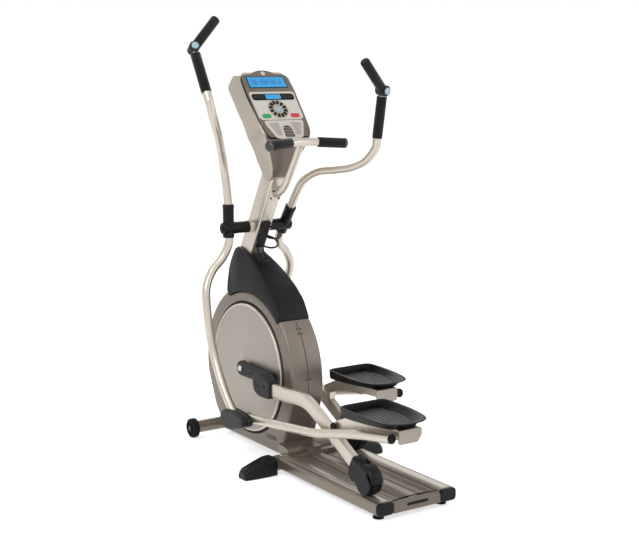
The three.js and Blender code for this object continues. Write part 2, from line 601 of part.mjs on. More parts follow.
function pedalLink() {
  const tube = bar([
    V3(LINK_X, BAR_FOOT_Y, LINK_FRONT_Z), V3(LINK_X, 525, 199), V3(LINK_X, 300, 225), V3(LINK_X, 205, 246),
    V3(LINK_X, 60, 279), V3(LINK_X, LINK_REAR_Y, 312),
  ], LINK_RADIUS, 12);
  const bushEnd = BAR_X_AT_JOINT - BAR_RADIUS - 6 - GAP;
  const frontBush = rodX(LINK_X - 17, bushEnd, BAR_FOOT_Y, LINK_FRONT_Z, BUSH_RADIUS);
  const ear = EAR_X.map((thickness) => plateX([
    ...arc(ARM_PIVOT_Y, ARM_PIVOT_Z, 17, -110, 60, 8), [120, PLATFORM_TOP], [PLATFORM_REAR, PLATFORM_TOP],
    [PLATFORM_REAR, 296], [60, 268],
  ], thickness));
  const topPlate = block([RAIL_X - 54, LINK_X - 21], [PLATFORM_REAR, 120], [PLATFORM_TOP - 4, PLATFORM_TOP]);
  const rearPlate = plateY(eased([
    [RAIL_X - 54, PLATFORM_TOP], [RAIL_X - 54, 306], [RAIL_X - 40, 291], [LINK_X - 24, 291],
    [LINK_X - 21, PLATFORM_TOP],
  ], 4, 2), [PLATFORM_REAR, PLATFORM_REAR + 4]);
  const tabs = [[-120, -80, 304], [40, 90, 277]].map(([y0, y1, z]) =>
    block([EAR_X[1][0], LINK_X - 8], [y0, y1], [z - 6, z + 8]));
  const pin = rodX(EAR_X[0][0] - 4, EAR_X[1][1] + 6, ARM_PIVOT_Y, ARM_PIVOT_Z, 8);
  return join(tube, frontBush, ...ear, topPlate, rearPlate, ...tabs, pin);
}

function pedal() {
  const front = PEDAL_FRONT_Y;
  const rear = PEDAL_REAR_Y;
  const half = (inset) => [
    [92 - inset, front - inset], [99 - inset, front - 47], [102 - inset, front - 167],
    [86 - inset, rear + 33 + inset], [42, rear + inset],
  ];
  const outline = (inset) => eased([
    ...half(inset).map(([x, y]) => [PEDAL_X - x, y]),
    ...half(inset).reverse().map(([x, y]) => [PEDAL_X + x, y]),
  ], 30, 3);
  const tray = plateZ(outline(0), [PEDAL_FLOOR_Z, PEDAL_FLOOR_Z + PEDAL_RIM_FRONT]);
  const hollow = plateZ(outline(PEDAL_WALL), [PEDAL_FLOOR_Z + 5, PEDAL_FLOOR_Z + 60]);
  const rimSlope = plateX([
    [front + 1, PEDAL_FLOOR_Z + PEDAL_RIM_FRONT], [rear - 1, PEDAL_FLOOR_Z + PEDAL_RIM_REAR],
    [rear - 1, PEDAL_FLOOR_Z + 80], [front + 1, PEDAL_FLOOR_Z + 80],
  ], [PEDAL_X - 110, PEDAL_X + 110]);
  return cut(tray, hollow, rimSlope);
}

// ---------------------------------------------------------------- swinging handlebars
// Built at the rearmost place of the handlebar's foot, then turned about the pivot.
const gripFoot = V3(279.5, 847, 1350);
const knuckle = V3(286, 945, 1537);
const topGripEnd = V3(175, 975, 1645);
const gripAlong = knuckle.clone().sub(gripFoot).normalize();
const topGripAlong = topGripEnd.clone().sub(knuckle).normalize();
const knuckleAxis = gripAlong.clone().cross(topGripAlong).normalize();
const KNUCKLE_RADIUS = BAR_RADIUS + 4;
const KNUCKLE_HALF = 22;
const BUTTON_RADIUS = 13;
const BUTTON_TRAVEL = 3;
const FOAM_RADIUS = BAR_RADIUS + 3;
const FOAM_START = 33;           // beyond the last bend of the bar

function barPoints() {
  return [
    V3(BAR_X_AT_JOINT, BAR_FOOT_Y, BAR_FOOT_Z), V3(227, 832, 238), V3(226, 890, 312), V3(228, 940, 416),
    V3(236, 958, 534), V3(230, 975, 640), V3(196, 990, 698), V3(150, 992, 745),
    V3(BAR_X_AT_PIVOT, PIVOT_Y, 800), V3(BAR_X_AT_PIVOT, PIVOT_Y, PIVOT_Z), V3(BAR_X_AT_PIVOT, PIVOT_Y, 935),
    V3(128, 990, 1010), V3(137, 990, 1075), V3(163, 962, 1142), V3(201, 911, 1192), V3(233, 872, 1235),
    V3(262, 848, 1286), gripFoot,
    gripFoot.clone().addScaledVector(gripAlong, 12), gripFoot.clone().addScaledVector(gripAlong, 50),
    knuckle.clone().addScaledVector(gripAlong, -KNUCKLE_RADIUS - GAP),
  ];
}

const BUSH_INNER_X = BAR_X_AT_JOINT - BAR_RADIUS - 6 + GAP;

function footBush(grow) {
  return rodX(BUSH_INNER_X - grow, BAR_X_AT_JOINT + 14 + grow, BAR_FOOT_Y, BAR_FOOT_Z, BUSH_RADIUS + grow);
}

function handlebar() {
  return join(bar(barPoints(), BAR_RADIUS, BAR_STEPS), footBush(0));
}

function handlebarSleeve() {
  const across = rodX(MAST_WIDTH / 2 + 12, BAR_X_AT_PIVOT + 27, PIVOT_Y, PIVOT_Z, 23);
  const upright = rod(
    V3(BAR_X_AT_PIVOT, PIVOT_Y, PIVOT_Z - 36), V3(BAR_X_AT_PIVOT, PIVOT_Y, PIVOT_Z + 92), BAR_RADIUS + 6);
  const shaftBore = rodX(0, PIVOT_SHAFT_REACH + 1, PIVOT_Y, PIVOT_Z, PIVOT_SHAFT_RADIUS + GAP);
  return cut(join(across, upright), shaftBore, bar(barPoints(), BAR_RADIUS + GAP, BAR_STEPS));
}

function foamGrip() {
  const start = gripFoot.clone().addScaledVector(gripAlong, FOAM_START);
  const end = knuckle.clone().addScaledVector(gripAlong, -KNUCKLE_RADIUS - 2);
  const bore = rod(start.clone().addScaledVector(gripAlong, -5), end.clone().addScaledVector(gripAlong, 5),
    BAR_RADIUS + 0.9, 16);
  return cut(rod(start, end, FOAM_RADIUS, 20), bore);
}

function topGrip() {
  const along = (distance) => knuckle.clone().addScaledVector(knuckleAxis, distance);
  const body = rod(along(-KNUCKLE_HALF), along(KNUCKLE_HALF), KNUCKLE_RADIUS, 28);
  const start = knuckle.clone().addScaledVector(topGripAlong, 8);
  const grip = rod(start, topGripEnd, 18);
  const recess = rod(
    along(KNUCKLE_HALF - 4 - BUTTON_TRAVEL), along(KNUCKLE_HALF + 20), BUTTON_RADIUS + GAP, 28);
  return cut(join(body, grip), recess);
}

function gripButton() {
  const along = (distance) => knuckle.clone().addScaledVector(knuckleAxis, distance);
  return rod(along(KNUCKLE_HALF - 4 + GAP), along(KNUCKLE_HALF + 6), BUTTON_RADIUS, 28);
}

function jointCover() {
  const outline = eased([
    [BAR_FOOT_Y - 72, BAR_FOOT_Z - 22], [BAR_FOOT_Y + 10, BAR_FOOT_Z - 40],
    [BAR_FOOT_Y + 72, BAR_FOOT_Z - 38], [BAR_FOOT_Y + 84, BAR_FOOT_Z + 14],
    [BAR_FOOT_Y + 50, BAR_FOOT_Z + 38], [BAR_FOOT_Y - 66, BAR_FOOT_Z + 28],
  ], 22, 3);
  const outer = plateX(outline, [BAR_X_AT_JOINT - BAR_RADIUS - 5, BAR_X_AT_JOINT + BAR_RADIUS + 14], 6);
  return cut(outer, bar(barPoints(), BAR_RADIUS + GAP, BAR_STEPS), footBush(GAP));
}

for (const { name, place } of sides) {
  const forward = name === 'right' ? STRIDE : 0;
  const walking = new THREE.Group();
  walking.position.set(0, forward, 0);
  trainer.add(walking);
  add(`roller_axle_${name}`, place(rodX(FORK_X[0][0] - 3, FORK_X[1][1] + 3, ROLLER_Y, ROLLER_Z,
    ROLLER_AXLE_RADIUS, 24)), steel, walking);
  add(`roller_wheel_${name}`, place(turnedX([
    [ROLLER_AXLE_RADIUS + GAP, -ROLLER_WIDTH / 2], [ROLLER_RADIUS, -ROLLER_WIDTH / 2],
    [ROLLER_RADIUS, ROLLER_WIDTH / 2], [ROLLER_AXLE_RADIUS + GAP, ROLLER_WIDTH / 2],
    [ROLLER_AXLE_RADIUS + GAP, -ROLLER_WIDTH / 2],
  ], ROLLER_Y, ROLLER_Z).translate(RAIL_X, 0, 0)), rubber, walking);
  add(`roller_arm_${name}`, place(rollerArm()), silver, walking);
  add(`arm_shroud_${name}`, place(armShroud()), darkGrey, walking);
  add(`roller_shroud_${name}`, place(rollerShroud()), black, walking);
  add(`pedal_link_${name}`, place(pedalLink()), silver, walking);
  add(`pedal_${name}`, place(pedal()), black, walking);

  // The swing turns about the pivot, so the pieces are placed relative to it.
  const swinging = new THREE.Group();
  swinging.position.set(0, PIVOT_Y, PIVOT_Z);
  swinging.rotation.x = name === 'right' ? BAR_SWING : 0;
  trainer.add(swinging);
  const aboutPivot = (geometry) => place(geometry.translate(0, -PIVOT_Y, -PIVOT_Z));
  add(`handlebar_${name}`, aboutPivot(handlebar()), silver, swinging);
  add(`handlebar_sleeve_${name}`, aboutPivot(handlebarSleeve()), black, swinging);
  add(`foam_grip_${name}`, aboutPivot(foamGrip()), foam, swinging);
  add(`top_grip_${name}`, aboutPivot(topGrip()), foam, swinging);
  add(`grip_button_${name}`, aboutPivot(gripButton()), buttonBlue, swinging);
  add(`joint_cover_${name}`, aboutPivot(jointCover()), darkGrey, swinging);
}

// ---------------------------------------------------------------- fixed handlebar
const FIXED_BAR_RADIUS = 15;
const FIXED_GRIP_RADIUS = 18.5;
const STEM_FOOT = 339;           // along the mast
const fixedBarEnd = V3(165, 622, 1193);
const fixedBarBend = V3(52, 646, 1200);

function fixedBar(grow) {
  const half = [V3(0, 651, 1201), V3(30, 650, 1201), fixedBarBend, fixedBarEnd];
  const points = [...half.slice(1).reverse().map(({ x, y, z }) => V3(-x, y, z)), ...half];
  return bar(points, FIXED_BAR_RADIUS + grow, 16);
}

function fixedHandlebar() {
  const face = MAST_DEPTH / 2 + GAP;
  const [mastY, mastZ] = onMast(STEM_FOOT, face + 2);
  const plate = plateX([
    onMast(STEM_FOOT - 30, face), onMast(STEM_FOOT + 30, face),
    onMast(STEM_FOOT + 30, face + 8), onMast(STEM_FOOT - 30, face + 8),
  ], [-26, 26]);
  const stem = bar([
    V3(0, mastY, mastZ), V3(0, mastY - 34, mastZ + 8), V3(0, 775, 1032), V3(0, 746, 1074), V3(0, 716, 1120),
    V3(0, 690, 1162), V3(0, 672, 1189), V3(0, 651, 1201),
  ], FIXED_BAR_RADIUS - 1, 12);
  const mastSide = plateX([
    onMast(STEM_FOOT - 90, face), onMast(STEM_FOOT + 85, face), onMast(STEM_FOOT + 85, 0),
    onMast(STEM_FOOT - 90, 0),
  ], [-40, 40]);
  return cut(join(plate, stem, fixedBar(0)), mastSide);
}

add('fixed_handlebar', fixedHandlebar(), silver);
for (const { name, place } of sides) {
  const along = fixedBarEnd.clone().sub(fixedBarBend).normalize();
  const inner = fixedBarBend.clone().addScaledVector(along, 6);
  const outer = fixedBarEnd.clone().addScaledVector(along, 4);
  const grip = rod(inner, outer, FIXED_GRIP_RADIUS);
  add(`fixed_grip_${name}`, place(cut(grip, fixedBar(GAP))), foam);
}

// ---------------------------------------------------------------- bottle cage
const CAGE_FOOT = 92;            // along the mast
const CAGE_TOP = 212;
const BOTTLE_RADIUS = 37;
const CAGE_WIRE = 3.5;

function bottleCage() {
  const face = MAST_DEPTH / 2 + GAP;
  const plate = plateX([
    onMast(CAGE_FOOT, face), onMast(CAGE_TOP, face), onMast(CAGE_TOP, face + 8), onMast(CAGE_FOOT, face + 8),
  ], [-19, 19]);
  const axisOut = face + 4 + BOTTLE_RADIUS + CAGE_WIRE;
  const ring = (along, radius) => {
    const centre = mastPoint(along, axisOut);
    const points = Array.from({ length: 9 }, (_, i) => {
      const angle = THREE.MathUtils.degToRad(-160 + 320 * i / 8);
      const across = V3(radius * Math.sin(angle), 0, 0);
      return centre.clone().addScaledVector(mastRear, radius * Math.cos(angle)).add(across);
    });
    return bar(points, CAGE_WIRE, 14, 6);
  };
  const cradle = [-1, 1].map((side) => bar([
    mastPoint(CAGE_FOOT + 8, face + 4).add(V3(side * 10, 0, 0)),
    mastPoint(CAGE_FOOT - 14, face + 30).add(V3(side * 12, 0, 0)),
    mastPoint(CAGE_FOOT - 12, face + 62).add(V3(side * 10, 0, 0)),
    mastPoint(CAGE_FOOT + 2, face + 76),
  ], CAGE_WIRE, 7, 6));
  const ringRadius = BOTTLE_RADIUS + CAGE_WIRE;
  return join(plate, ring(CAGE_FOOT + 55, ringRadius), ring(CAGE_TOP - 22, ringRadius), ...cradle);
}

add('bottle_cage', bottleCage(), black);

// ---------------------------------------------------------------- console
const CONSOLE_WALL = 3;
const CONSOLE_FRONT_WALL = 6;
const CONSOLE_SPLIT = 46;        // depth of the front shell behind the sloping face
const FACE_FOOT = { y: 750, z: 1225 };
const FACE_HEAD = { y: 938, z: 1452 };
const faceAngle = Math.atan2(FACE_HEAD.z - FACE_FOOT.z, FACE_HEAD.y - FACE_FOOT.y);
const faceUp = V3(0, Math.cos(faceAngle), Math.sin(faceAngle));
const faceOut = V3(0, -Math.sin(faceAngle), Math.cos(faceAngle));
const CONSOLE_MAST = 424;        // the mast length at which the console sits where it is drawn
const consoleShift = mastUp.clone().multiplyScalar(MAST_LENGTH - CONSOLE_MAST);
const WINDOW_HALF = 80;
const WINDOW_SPAN = [219, 268];  // along the face, from its foot
const RECESS_DEPTH = 4;
const KEY_TRAVEL = 1.5;

// Face frame: x across, u up the sloping face, w out of it.
const faceBasis = new THREE.Matrix4().makeBasis(V3(1, 0, 0), faceUp, faceOut)
  .setPosition(0, FACE_FOOT.y + consoleShift.y, FACE_FOOT.z + consoleShift.z);
const onFace = (points, [w0, w1], edge) => extruded(points, w1 - w0,
  faceBasis.clone().multiply(new THREE.Matrix4().makeTranslation(0, 0, w0)), edge);

function consoleSolid(inset) {
  const side = plateX(eased([
    [938 + inset * 0.4, 1452 - inset * 1.4], [750 + inset * 1.4, 1225 + inset * 0.2], [758 + inset, 1178],
    [792 + inset, 1082 + inset], [822, 1046 + inset], [868 - inset, 1052 + inset], [886 - inset, 1110],
    [883 - inset, 1180], [898 - inset, 1254], [1026 - inset * 1.3, 1392 + inset * 0.2],
    [984 - inset * 0.2, 1444 - inset * 1.4],
  ], 14, 3), [-130, 130]);
  const right = [
    [0, 1472 - inset], [26, 1468 - inset], [52, 1452 - inset], [86 - inset, 1447 - inset],
    [99 - inset, 1436 - inset], [104 - inset, 1390], [110 - inset, 1300], [110 - inset, 1250],
    [98 - inset, 1205], [72 - inset, 1150], [52 - inset, 1100], [42 - inset, 1060],
    [38 - inset, 1030 + inset],
  ];
  const left = right.slice(1).reverse().map(([x, z]) => [-x, z]);
  const front = plateY([...right, ...left].reverse(), [600, 1100]);
  return overlapOf(side, front).translate(0, consoleShift.y, consoleShift.z);
}

// A slab parallel to the face, wider and longer than the console.
const faceSlab = (depths) => onFace([[-200, -400], [200, -400], [200, 500], [-200, 500]], depths);

const KEYS = [
  { name: 'start_key', x: -62, u: 84, width: 34, height: 17, material: keyGreen },
  { name: 'stop_key', x: 62, u: 84, width: 34, height: 17, material: keyRed },
  { name: 'enter_key', x: 0, u: 112, width: 24, height: 24, material: buttonBlue },
];
const KEY_PROUD = 2.5;
const KEY_SEAT = 5;

function consoleFront() {
  const front = overlapOf(consoleSolid(0), faceSlab([-CONSOLE_SPLIT + GAP / 2, 200]));
  const shell = cut(front, consoleSolid(CONSOLE_FRONT_WALL));
  const windowRoom = onFace(eased([
    [-WINDOW_HALF - GAP, WINDOW_SPAN[0] - GAP], [WINDOW_HALF + GAP, WINDOW_SPAN[0] - GAP],
    [WINDOW_HALF + GAP, WINDOW_SPAN[1] + GAP], [-WINDOW_HALF - GAP, WINDOW_SPAN[1] + GAP],
  ], 4, 2), [-RECESS_DEPTH, 60]);
  const keyRooms = KEYS.map(({ x, u, width, height }) =>
    onFace(stadium(x, u, width + 2 * GAP, height + 2 * GAP), [-KEY_SEAT, 60]));
  return cut(shell, windowRoom, ...keyRooms, mastTube(0.5));
}

add('console_front', consoleFront(), silver);
const rearHalf = overlapOf(consoleSolid(0), faceSlab([-500, -CONSOLE_SPLIT - GAP / 2]));
add('console_back', cut(rearHalf, consoleSolid(CONSOLE_WALL), mastTube(0.5)), silver);
add('display_window', onFace(eased([
  [-WINDOW_HALF, WINDOW_SPAN[0]], [WINDOW_HALF, WINDOW_SPAN[0]], [WINDOW_HALF, WINDOW_SPAN[1]],
  [-WINDOW_HALF, WINDOW_SPAN[1]],
], 4, 2), [-RECESS_DEPTH + GAP, -0.5]), screenBlue);
for (const { name, x, u, width, height, material } of KEYS) {
  add(name, onFace(stadium(x, u, width, height), [-KEY_SEAT + KEY_TRAVEL + GAP, KEY_PROUD]), material);
}

// ---------------------------------------------------------------- placing
// The origin is on the floor below the middle of the whole machine.
trainer.updateMatrixWorld(true);
const extent = new THREE.Box3().setFromObject(trainer, true);
trainer.position.y = -(extent.min.y + extent.max.y) / 2;

export default trainer;
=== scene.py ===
import math

import bmesh
import bpy
from mathutils import Matrix, Vector


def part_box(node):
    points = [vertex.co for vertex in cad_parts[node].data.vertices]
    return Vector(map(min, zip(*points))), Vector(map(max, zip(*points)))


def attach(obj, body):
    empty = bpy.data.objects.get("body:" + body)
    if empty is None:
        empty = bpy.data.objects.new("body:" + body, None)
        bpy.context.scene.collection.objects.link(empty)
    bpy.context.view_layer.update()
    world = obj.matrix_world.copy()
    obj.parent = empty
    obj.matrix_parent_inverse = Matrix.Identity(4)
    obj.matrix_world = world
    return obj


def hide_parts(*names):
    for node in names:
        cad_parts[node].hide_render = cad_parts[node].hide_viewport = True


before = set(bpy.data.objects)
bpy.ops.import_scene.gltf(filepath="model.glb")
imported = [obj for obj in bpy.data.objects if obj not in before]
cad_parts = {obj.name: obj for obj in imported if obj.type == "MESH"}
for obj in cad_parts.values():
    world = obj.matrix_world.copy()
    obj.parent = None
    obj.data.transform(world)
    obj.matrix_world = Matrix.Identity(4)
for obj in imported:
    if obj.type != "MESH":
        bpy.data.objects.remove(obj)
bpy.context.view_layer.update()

# ---- driving sizes
# Millimetres, with y counted forwards from the rear of the rails and z up from the floor.
STRIDE = 444
CRANK = Vector((0, 941, 315))
CRANK_RADIUS = STRIDE / 2
PIN_Y = CRANK.y - CRANK_RADIUS
PIVOT = Vector((0, 985, 859))
BAR_FOOT = Vector((225, PIVOT.y - CRANK_RADIUS, 171))
BAR_LENGTH = math.hypot(CRANK_RADIUS, PIVOT.z - BAR_FOOT.z)
BAR_SWING = 2 * math.asin(CRANK_RADIUS / BAR_LENGTH)
RAIL_X = 132
RAIL_ENDS = (-30, 572)
ROLLER = Vector((RAIL_X, 55, 108))
ARM_PIVOT = Vector((RAIL_X, 222, 262))
LINK_X = 185
BAR_RADIUS = 16
HOUSING = Vector((0, 945, 305))
HOUSING_RADIUS = 325
HOUSING_HALF = 70
SEAT_RADIUS = 305
MAST_LEAN = math.radians(29)
MAST_FOOT = Vector((0, 1047, 720))
MAST_LENGTH = 424
STABILIZER = Vector((0, 1160, 40.5))
WHEEL = Vector((0, STABILIZER.y, 38.5))
PEDAL_X = 130
PEDAL_FLOOR = 338
THINNEST = 0.05
ALONG_X = Vector((1, 0, 0))
ALONG_Z = Vector((0, 0, 1))

low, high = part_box("crank_axle")
ORIGIN_Y = CRANK.y - 500 * (low[1] + high[1])
TO_METRES = Matrix.Scale(0.001, 4) @ Matrix.Translation((0, -ORIGIN_Y, 0))
MIRROR = Matrix.Diagonal((-1, 1, 1, 1))
STAY = Matrix.Identity(4)
# Pieces are modelled on the right, at the rear end of the stride. At rest the right side is at the front end.
WALK = {"left": MIRROR, "right": Matrix.Translation((0, STRIDE, 0))}
TURN = Matrix.Translation(PIVOT) @ Matrix.Rotation(BAR_SWING, 4, "X") @ Matrix.Translation(-PIVOT)
SWING = {"left": MIRROR, "right": TURN}
FIXED = {"left": MIRROR, "right": STAY}
SIDES = ("left", "right")

mast_up = Vector((0, -math.sin(MAST_LEAN), math.cos(MAST_LEAN)))
mast_rear = Vector((0, -math.cos(MAST_LEAN), -math.sin(MAST_LEAN)))
MAST_FRAME = Matrix((
    (1, 0, 0, MAST_FOOT.x),
    (0, mast_rear.y, mast_up.y, MAST_FOOT.y),
    (0, mast_rear.z, mast_up.z, MAST_FOOT.z),
    (0, 0, 0, 1),
))
FACE_FOOT = Vector((0, 750, 1225))
face_up = (Vector((0, 938, 1452)) - FACE_FOOT).normalized()
face_out = Vector((0, -face_up.z, face_up.y))
FACE_FRAME = Matrix((
    (1, 0, 0, 0),
    (0, face_up.y, face_out.y, FACE_FOOT.y),
    (0, face_up.z, face_out.z, FACE_FOOT.z),
    (0, 0, 0, 1),
))


# ---- materials
def linear(code):
    """A hex colour code as linear colour."""
    parts = [int(code[i:i + 2], 16) / 255 for i in (0, 2, 4)]
    return [((p + 0.055) / 1.055) ** 2.4 if p > 0.04 else p / 12.92 for p in parts]


def noise(tree, place, scale, detail):
    made = tree.nodes.new("ShaderNodeTexNoise")
    made.inputs["Scale"].default_value = scale
    made.inputs["Detail"].default_value = detail
    tree.links.new(place.outputs["Object"], made.inputs["Vector"])
    return made


def ramp(tree, factor, low, low_colour, high, high_colour):
    made = tree.nodes.new("ShaderNodeValToRGB")
    ends = made.color_ramp.elements
    ends[0].position, ends[1].position = low, high
    ends[0].color, ends[1].color = low_colour, high_colour
    tree.links.new(factor, made.inputs["Fac"])
    return made


def material(name, code, rough, metal=0.0, grain=900, bump=0.02, shift=0.06, coat=0.0, edge_highlight=0.0, sheen=0.0,
             shine=0.5):
    """Two scales of noise vary colour and roughness; the fine one also raises the grain. An edge highlight,
    when given, paints convex edges lighter.
    """
    made = bpy.data.materials.new(name)
    made.use_nodes = True
    tree = made.node_tree
    nodes = tree.nodes
    links = tree.links
    shader = nodes["Principled BSDF"]
    shader.inputs["Metallic"].default_value = metal
    shader.inputs["Specular IOR Level"].default_value = shine
    shader.inputs["Coat Weight"].default_value = coat
    shader.inputs["Coat Roughness"].default_value = 0.25
    shader.inputs["Sheen Weight"].default_value = sheen
    place = nodes.new("ShaderNodeTexCoord")
    fine = noise(tree, place, grain, 3)
    broad = noise(tree, place, 7, 5)
    colour = linear(code)
    flecks = ramp(tree, fine.outputs["Fac"], 0.3, [c * (1 - shift) for c in colour] + [1],
                  0.7, [min(1, c * (1 + shift)) for c in colour] + [1])
    clouds = ramp(tree, broad.outputs["Fac"], 0.35, (0.93, 0.93, 0.93, 1), 0.65, (1, 1, 1, 1))
    mixed = nodes.new("ShaderNodeMix")
    mixed.data_type = "RGBA"
    mixed.blend_type = "MULTIPLY"
    mixed.inputs["Factor"].default_value = 1
    links.new(flecks.outputs["Color"], mixed.inputs["A"])
    links.new(clouds.outputs["Color"], mixed.inputs["B"])
    tone = mixed.outputs["Result"]
    # Convex edges, found by pointiness, are painted lighter as a painted highlight along the edges.
    if edge_highlight:
        edges = nodes.new("ShaderNodeNewGeometry")
        sharp = ramp(tree, edges.outputs["Pointiness"], 0.52, (0, 0, 0, 1), 0.62, (edge_highlight, edge_highlight, edge_highlight, 1))
        highlit_edges = nodes.new("ShaderNodeMix")
        highlit_edges.data_type = "RGBA"
        highlit_edges.inputs["B"].default_value = [min(1, c * 1.6 + 0.02) for c in colour] + [1]
        links.new(sharp.outputs["Color"], highlit_edges.inputs["Factor"])
        links.new(tone, highlit_edges.inputs["A"])
        tone = highlit_edges.outputs["Result"]
    links.new(tone, shader.inputs["Base Color"])
    gloss = nodes.new("ShaderNodeMapRange")
    gloss.inputs["To Min"].default_value = max(0.02, rough - 0.06)
    gloss.inputs["To Max"].default_value = rough + 0.08
    links.new(broad.outputs["Fac"], gloss.inputs["Value"])
    links.new(gloss.outputs["Result"], shader.inputs["Roughness"])
    raised = nodes.new("ShaderNodeBump")
    raised.inputs["Strength"].default_value = bump * 10
    raised.inputs["Distance"].default_value = 0.0002
    links.new(fine.outputs["Fac"], raised.inputs["Height"])
    links.new(raised.outputs["Normal"], shader.inputs["Normal"])
    return made


silver = material("silver_paint", "cdc4b7", 0.33, metal=0.82, grain=1600, bump=0.008, coat=0.1)
taupe = material("taupe_paint", "867b6f", 0.36, metal=0.6, grain=1500, bump=0.01, coat=0.25)
shell_taupe = material("shell_taupe", "81776b", 0.42, metal=0.35, grain=1500, bump=0.012, coat=0.15)
disc_taupe = material("disc_taupe", "aba297", 0.4, metal=0.45, grain=1500, bump=0.012, coat=0.15)
console_silver = material("console_silver", "b9afa2", 0.36, metal=0.55, grain=1500, bump=0.012)
panel_silver = material("panel_silver", "d9d4cb", 0.42, metal=0.25, grain=1500, bump=0.01)
bezel_taupe = material("bezel_taupe", "786e63", 0.4, metal=0.35, grain=1500, bump=0.012)
# The black and dark grey plastics carry the painted edge highlight.
black = material("black_plastic", "0f0f10", 0.4, grain=700, bump=0.04, edge_highlight=0.12, shine=0.2)
soft_black = material("soft_black", "0f0f10", 0.6, grain=500, bump=0.05, shine=0.2)
grey = material("dark_grey_plastic", "2c2b2c", 0.4, grain=700, bump=0.04, edge_highlight=0.12, shine=0.2)
tread = material("tread_grey", "4e4a48", 0.34, grain=600, bump=0.04, shine=0.5)
foam = material("foam_rubber", "161617", 0.86, grain=420, bump=0.12, shift=0.18, sheen=0.3, shine=0.2)
rubber = material("rubber_black", "161616", 0.8, grain=500, bump=0.06, shift=0.12, shine=0.2)
steel = material("bright_steel", "bfc2c6", 0.28, metal=0.95, grain=1200, bump=0.01)
dark_steel = material("dark_steel", "4c4b4b", 0.3, metal=0.75, grain=1200, bump=0.02)
iron = material("cast_iron", "5b5d60", 0.5, metal=0.8, grain=300, bump=0.06)
button_blue = material("button_blue", "a9c2d2", 0.3, metal=0.35, grain=1200, bump=0.01)
green = material("key_green", "2ba35f", 0.45, grain=900, bump=0.02)
red = material("key_red", "d63c4c", 0.45, grain=900, bump=0.02)
screen = material("screen_blue", "35aef2", 0.2, grain=1500, bump=0.004, shift=0.03)
segment = material("screen_segment", "1257a6", 0.3, grain=1500, bump=0.004, shift=0.03)


# ---- shape helpers
def piece(name, bm, finish, body, place=STAY, stands_for=(), bevel=0, segments=2, subdivide=0, crease=35):
    """Turns a bmesh in millimetres into an object that rides on a body."""
    matrix = TO_METRES @ place
    bmesh.ops.remove_doubles(bm, verts=bm.verts, dist=0.002)
    bmesh.ops.recalc_face_normals(bm, faces=bm.faces)
    bmesh.ops.transform(bm, matrix=matrix, verts=bm.verts)
    if place.determinant() < 0:
        bmesh.ops.reverse_faces(bm, faces=bm.faces)
    mesh = bpy.data.meshes.new(name)
    bm.to_mesh(mesh)
    bm.free()
    for polygon in mesh.polygons:
        polygon.use_smooth = True
    mesh.set_sharp_from_angle(angle=math.radians(crease))
    made = bpy.data.objects.new(name, mesh)
    bpy.context.scene.collection.objects.link(made)
    mesh.materials.append(finish)
    if bevel:
        edge = made.modifiers.new("edges", "BEVEL")
        edge.width = bevel / 1000
        edge.segments = segments
        edge.limit_method = "ANGLE"
        edge.angle_limit = math.radians(32)
        edge.harden_normals = True
    if subdivide:
        rounding = made.modifiers.new("rounding", "SUBSURF")
        rounding.levels = subdivide
        rounding.render_levels = subdivide
    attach(made, body)
    if stands_for:
        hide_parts(*stands_for)
    return made


def arc(u, v, radius, start, end, steps):
    """Points round (u, v), with start and end in degrees."""
    turns = [math.radians(start + (end - start) * i / steps) for i in range(steps + 1)]
    return [(u + radius * math.cos(a), v + radius * math.sin(a)) for a in turns]


def ring(u, v, radius, steps=48):
    return arc(u, v, radius, 0, 360, steps)[:-1]


def eased(points, distance, steps=5):
    """A polygon with each corner rounded over that distance."""
    result = []
    count = len(points)
    for i, point in enumerate(points):
        corner = Vector(point)
        before = Vector(points[i - 1])
        after = Vector(points[(i + 1) % count])
        start = corner.lerp(before, min(distance / (before - corner).length, 0.45))
        end = corner.lerp(after, min(distance / (after - corner).length, 0.45))
        for k in range(steps + 1):
            t = k / steps
            result.append(tuple(start * (1 - t) ** 2 + corner * (2 * t * (1 - t)) + end * t ** 2))
    return result


def rect(low_u, high_u, low_v, high_v):
    return [(low_u, low_v), (high_u, low_v), (high_u, high_v), (low_u, high_v)]


def soft_rect(low_u, high_u, low_v, high_v, distance, steps=5):
    return eased(rect(low_u, high_u, low_v, high_v), distance, steps)


def plate(outline, span, plane="x"):
    """A prism: plane x takes (y, z) outlines, y takes (x, z), z takes (x, y)."""
    place = {
        "x": lambda u, v, w: (w, u, v),
        "y": lambda u, v, w: (u, w, v),
        "z": lambda u, v, w: (u, v, w),
    }[plane]
    bm = bmesh.new()
    ends = [[bm.verts.new(place(u, v, w)) for u, v in outline] for w in span]
    bm.faces.new(ends[0])
    bm.faces.new(ends[1])
    count = len(outline)
    for i in range(count):
        k = (i + 1) % count
        bm.faces.new((ends[0][i], ends[0][k], ends[1][k], ends[1][i]))
    return bm


def lofted(rings, close=True):
    """Skins a list of closed rings of equal length; close fills both ends."""
    bm = bmesh.new()
    rows = [[bm.verts.new(p) for p in points] for points in rings]
    count = len(rows[0])
    for a, b in zip(rows, rows[1:]):
        for i in range(count):
            k = (i + 1) % count
            bm.faces.new((a[i], a[k], b[k], b[i]))
    if close:
        bm.faces.new(rows[0])
        bm.faces.new(rows[-1])
    return bm


def merge(*parts):
    """Several bmeshes in one."""
    whole = bmesh.new()
    for part in parts:
        mesh = bpy.data.meshes.new("part")
        part.to_mesh(mesh)
        part.free()
        whole.from_mesh(mesh)
        bpy.data.meshes.remove(mesh)
    return whole


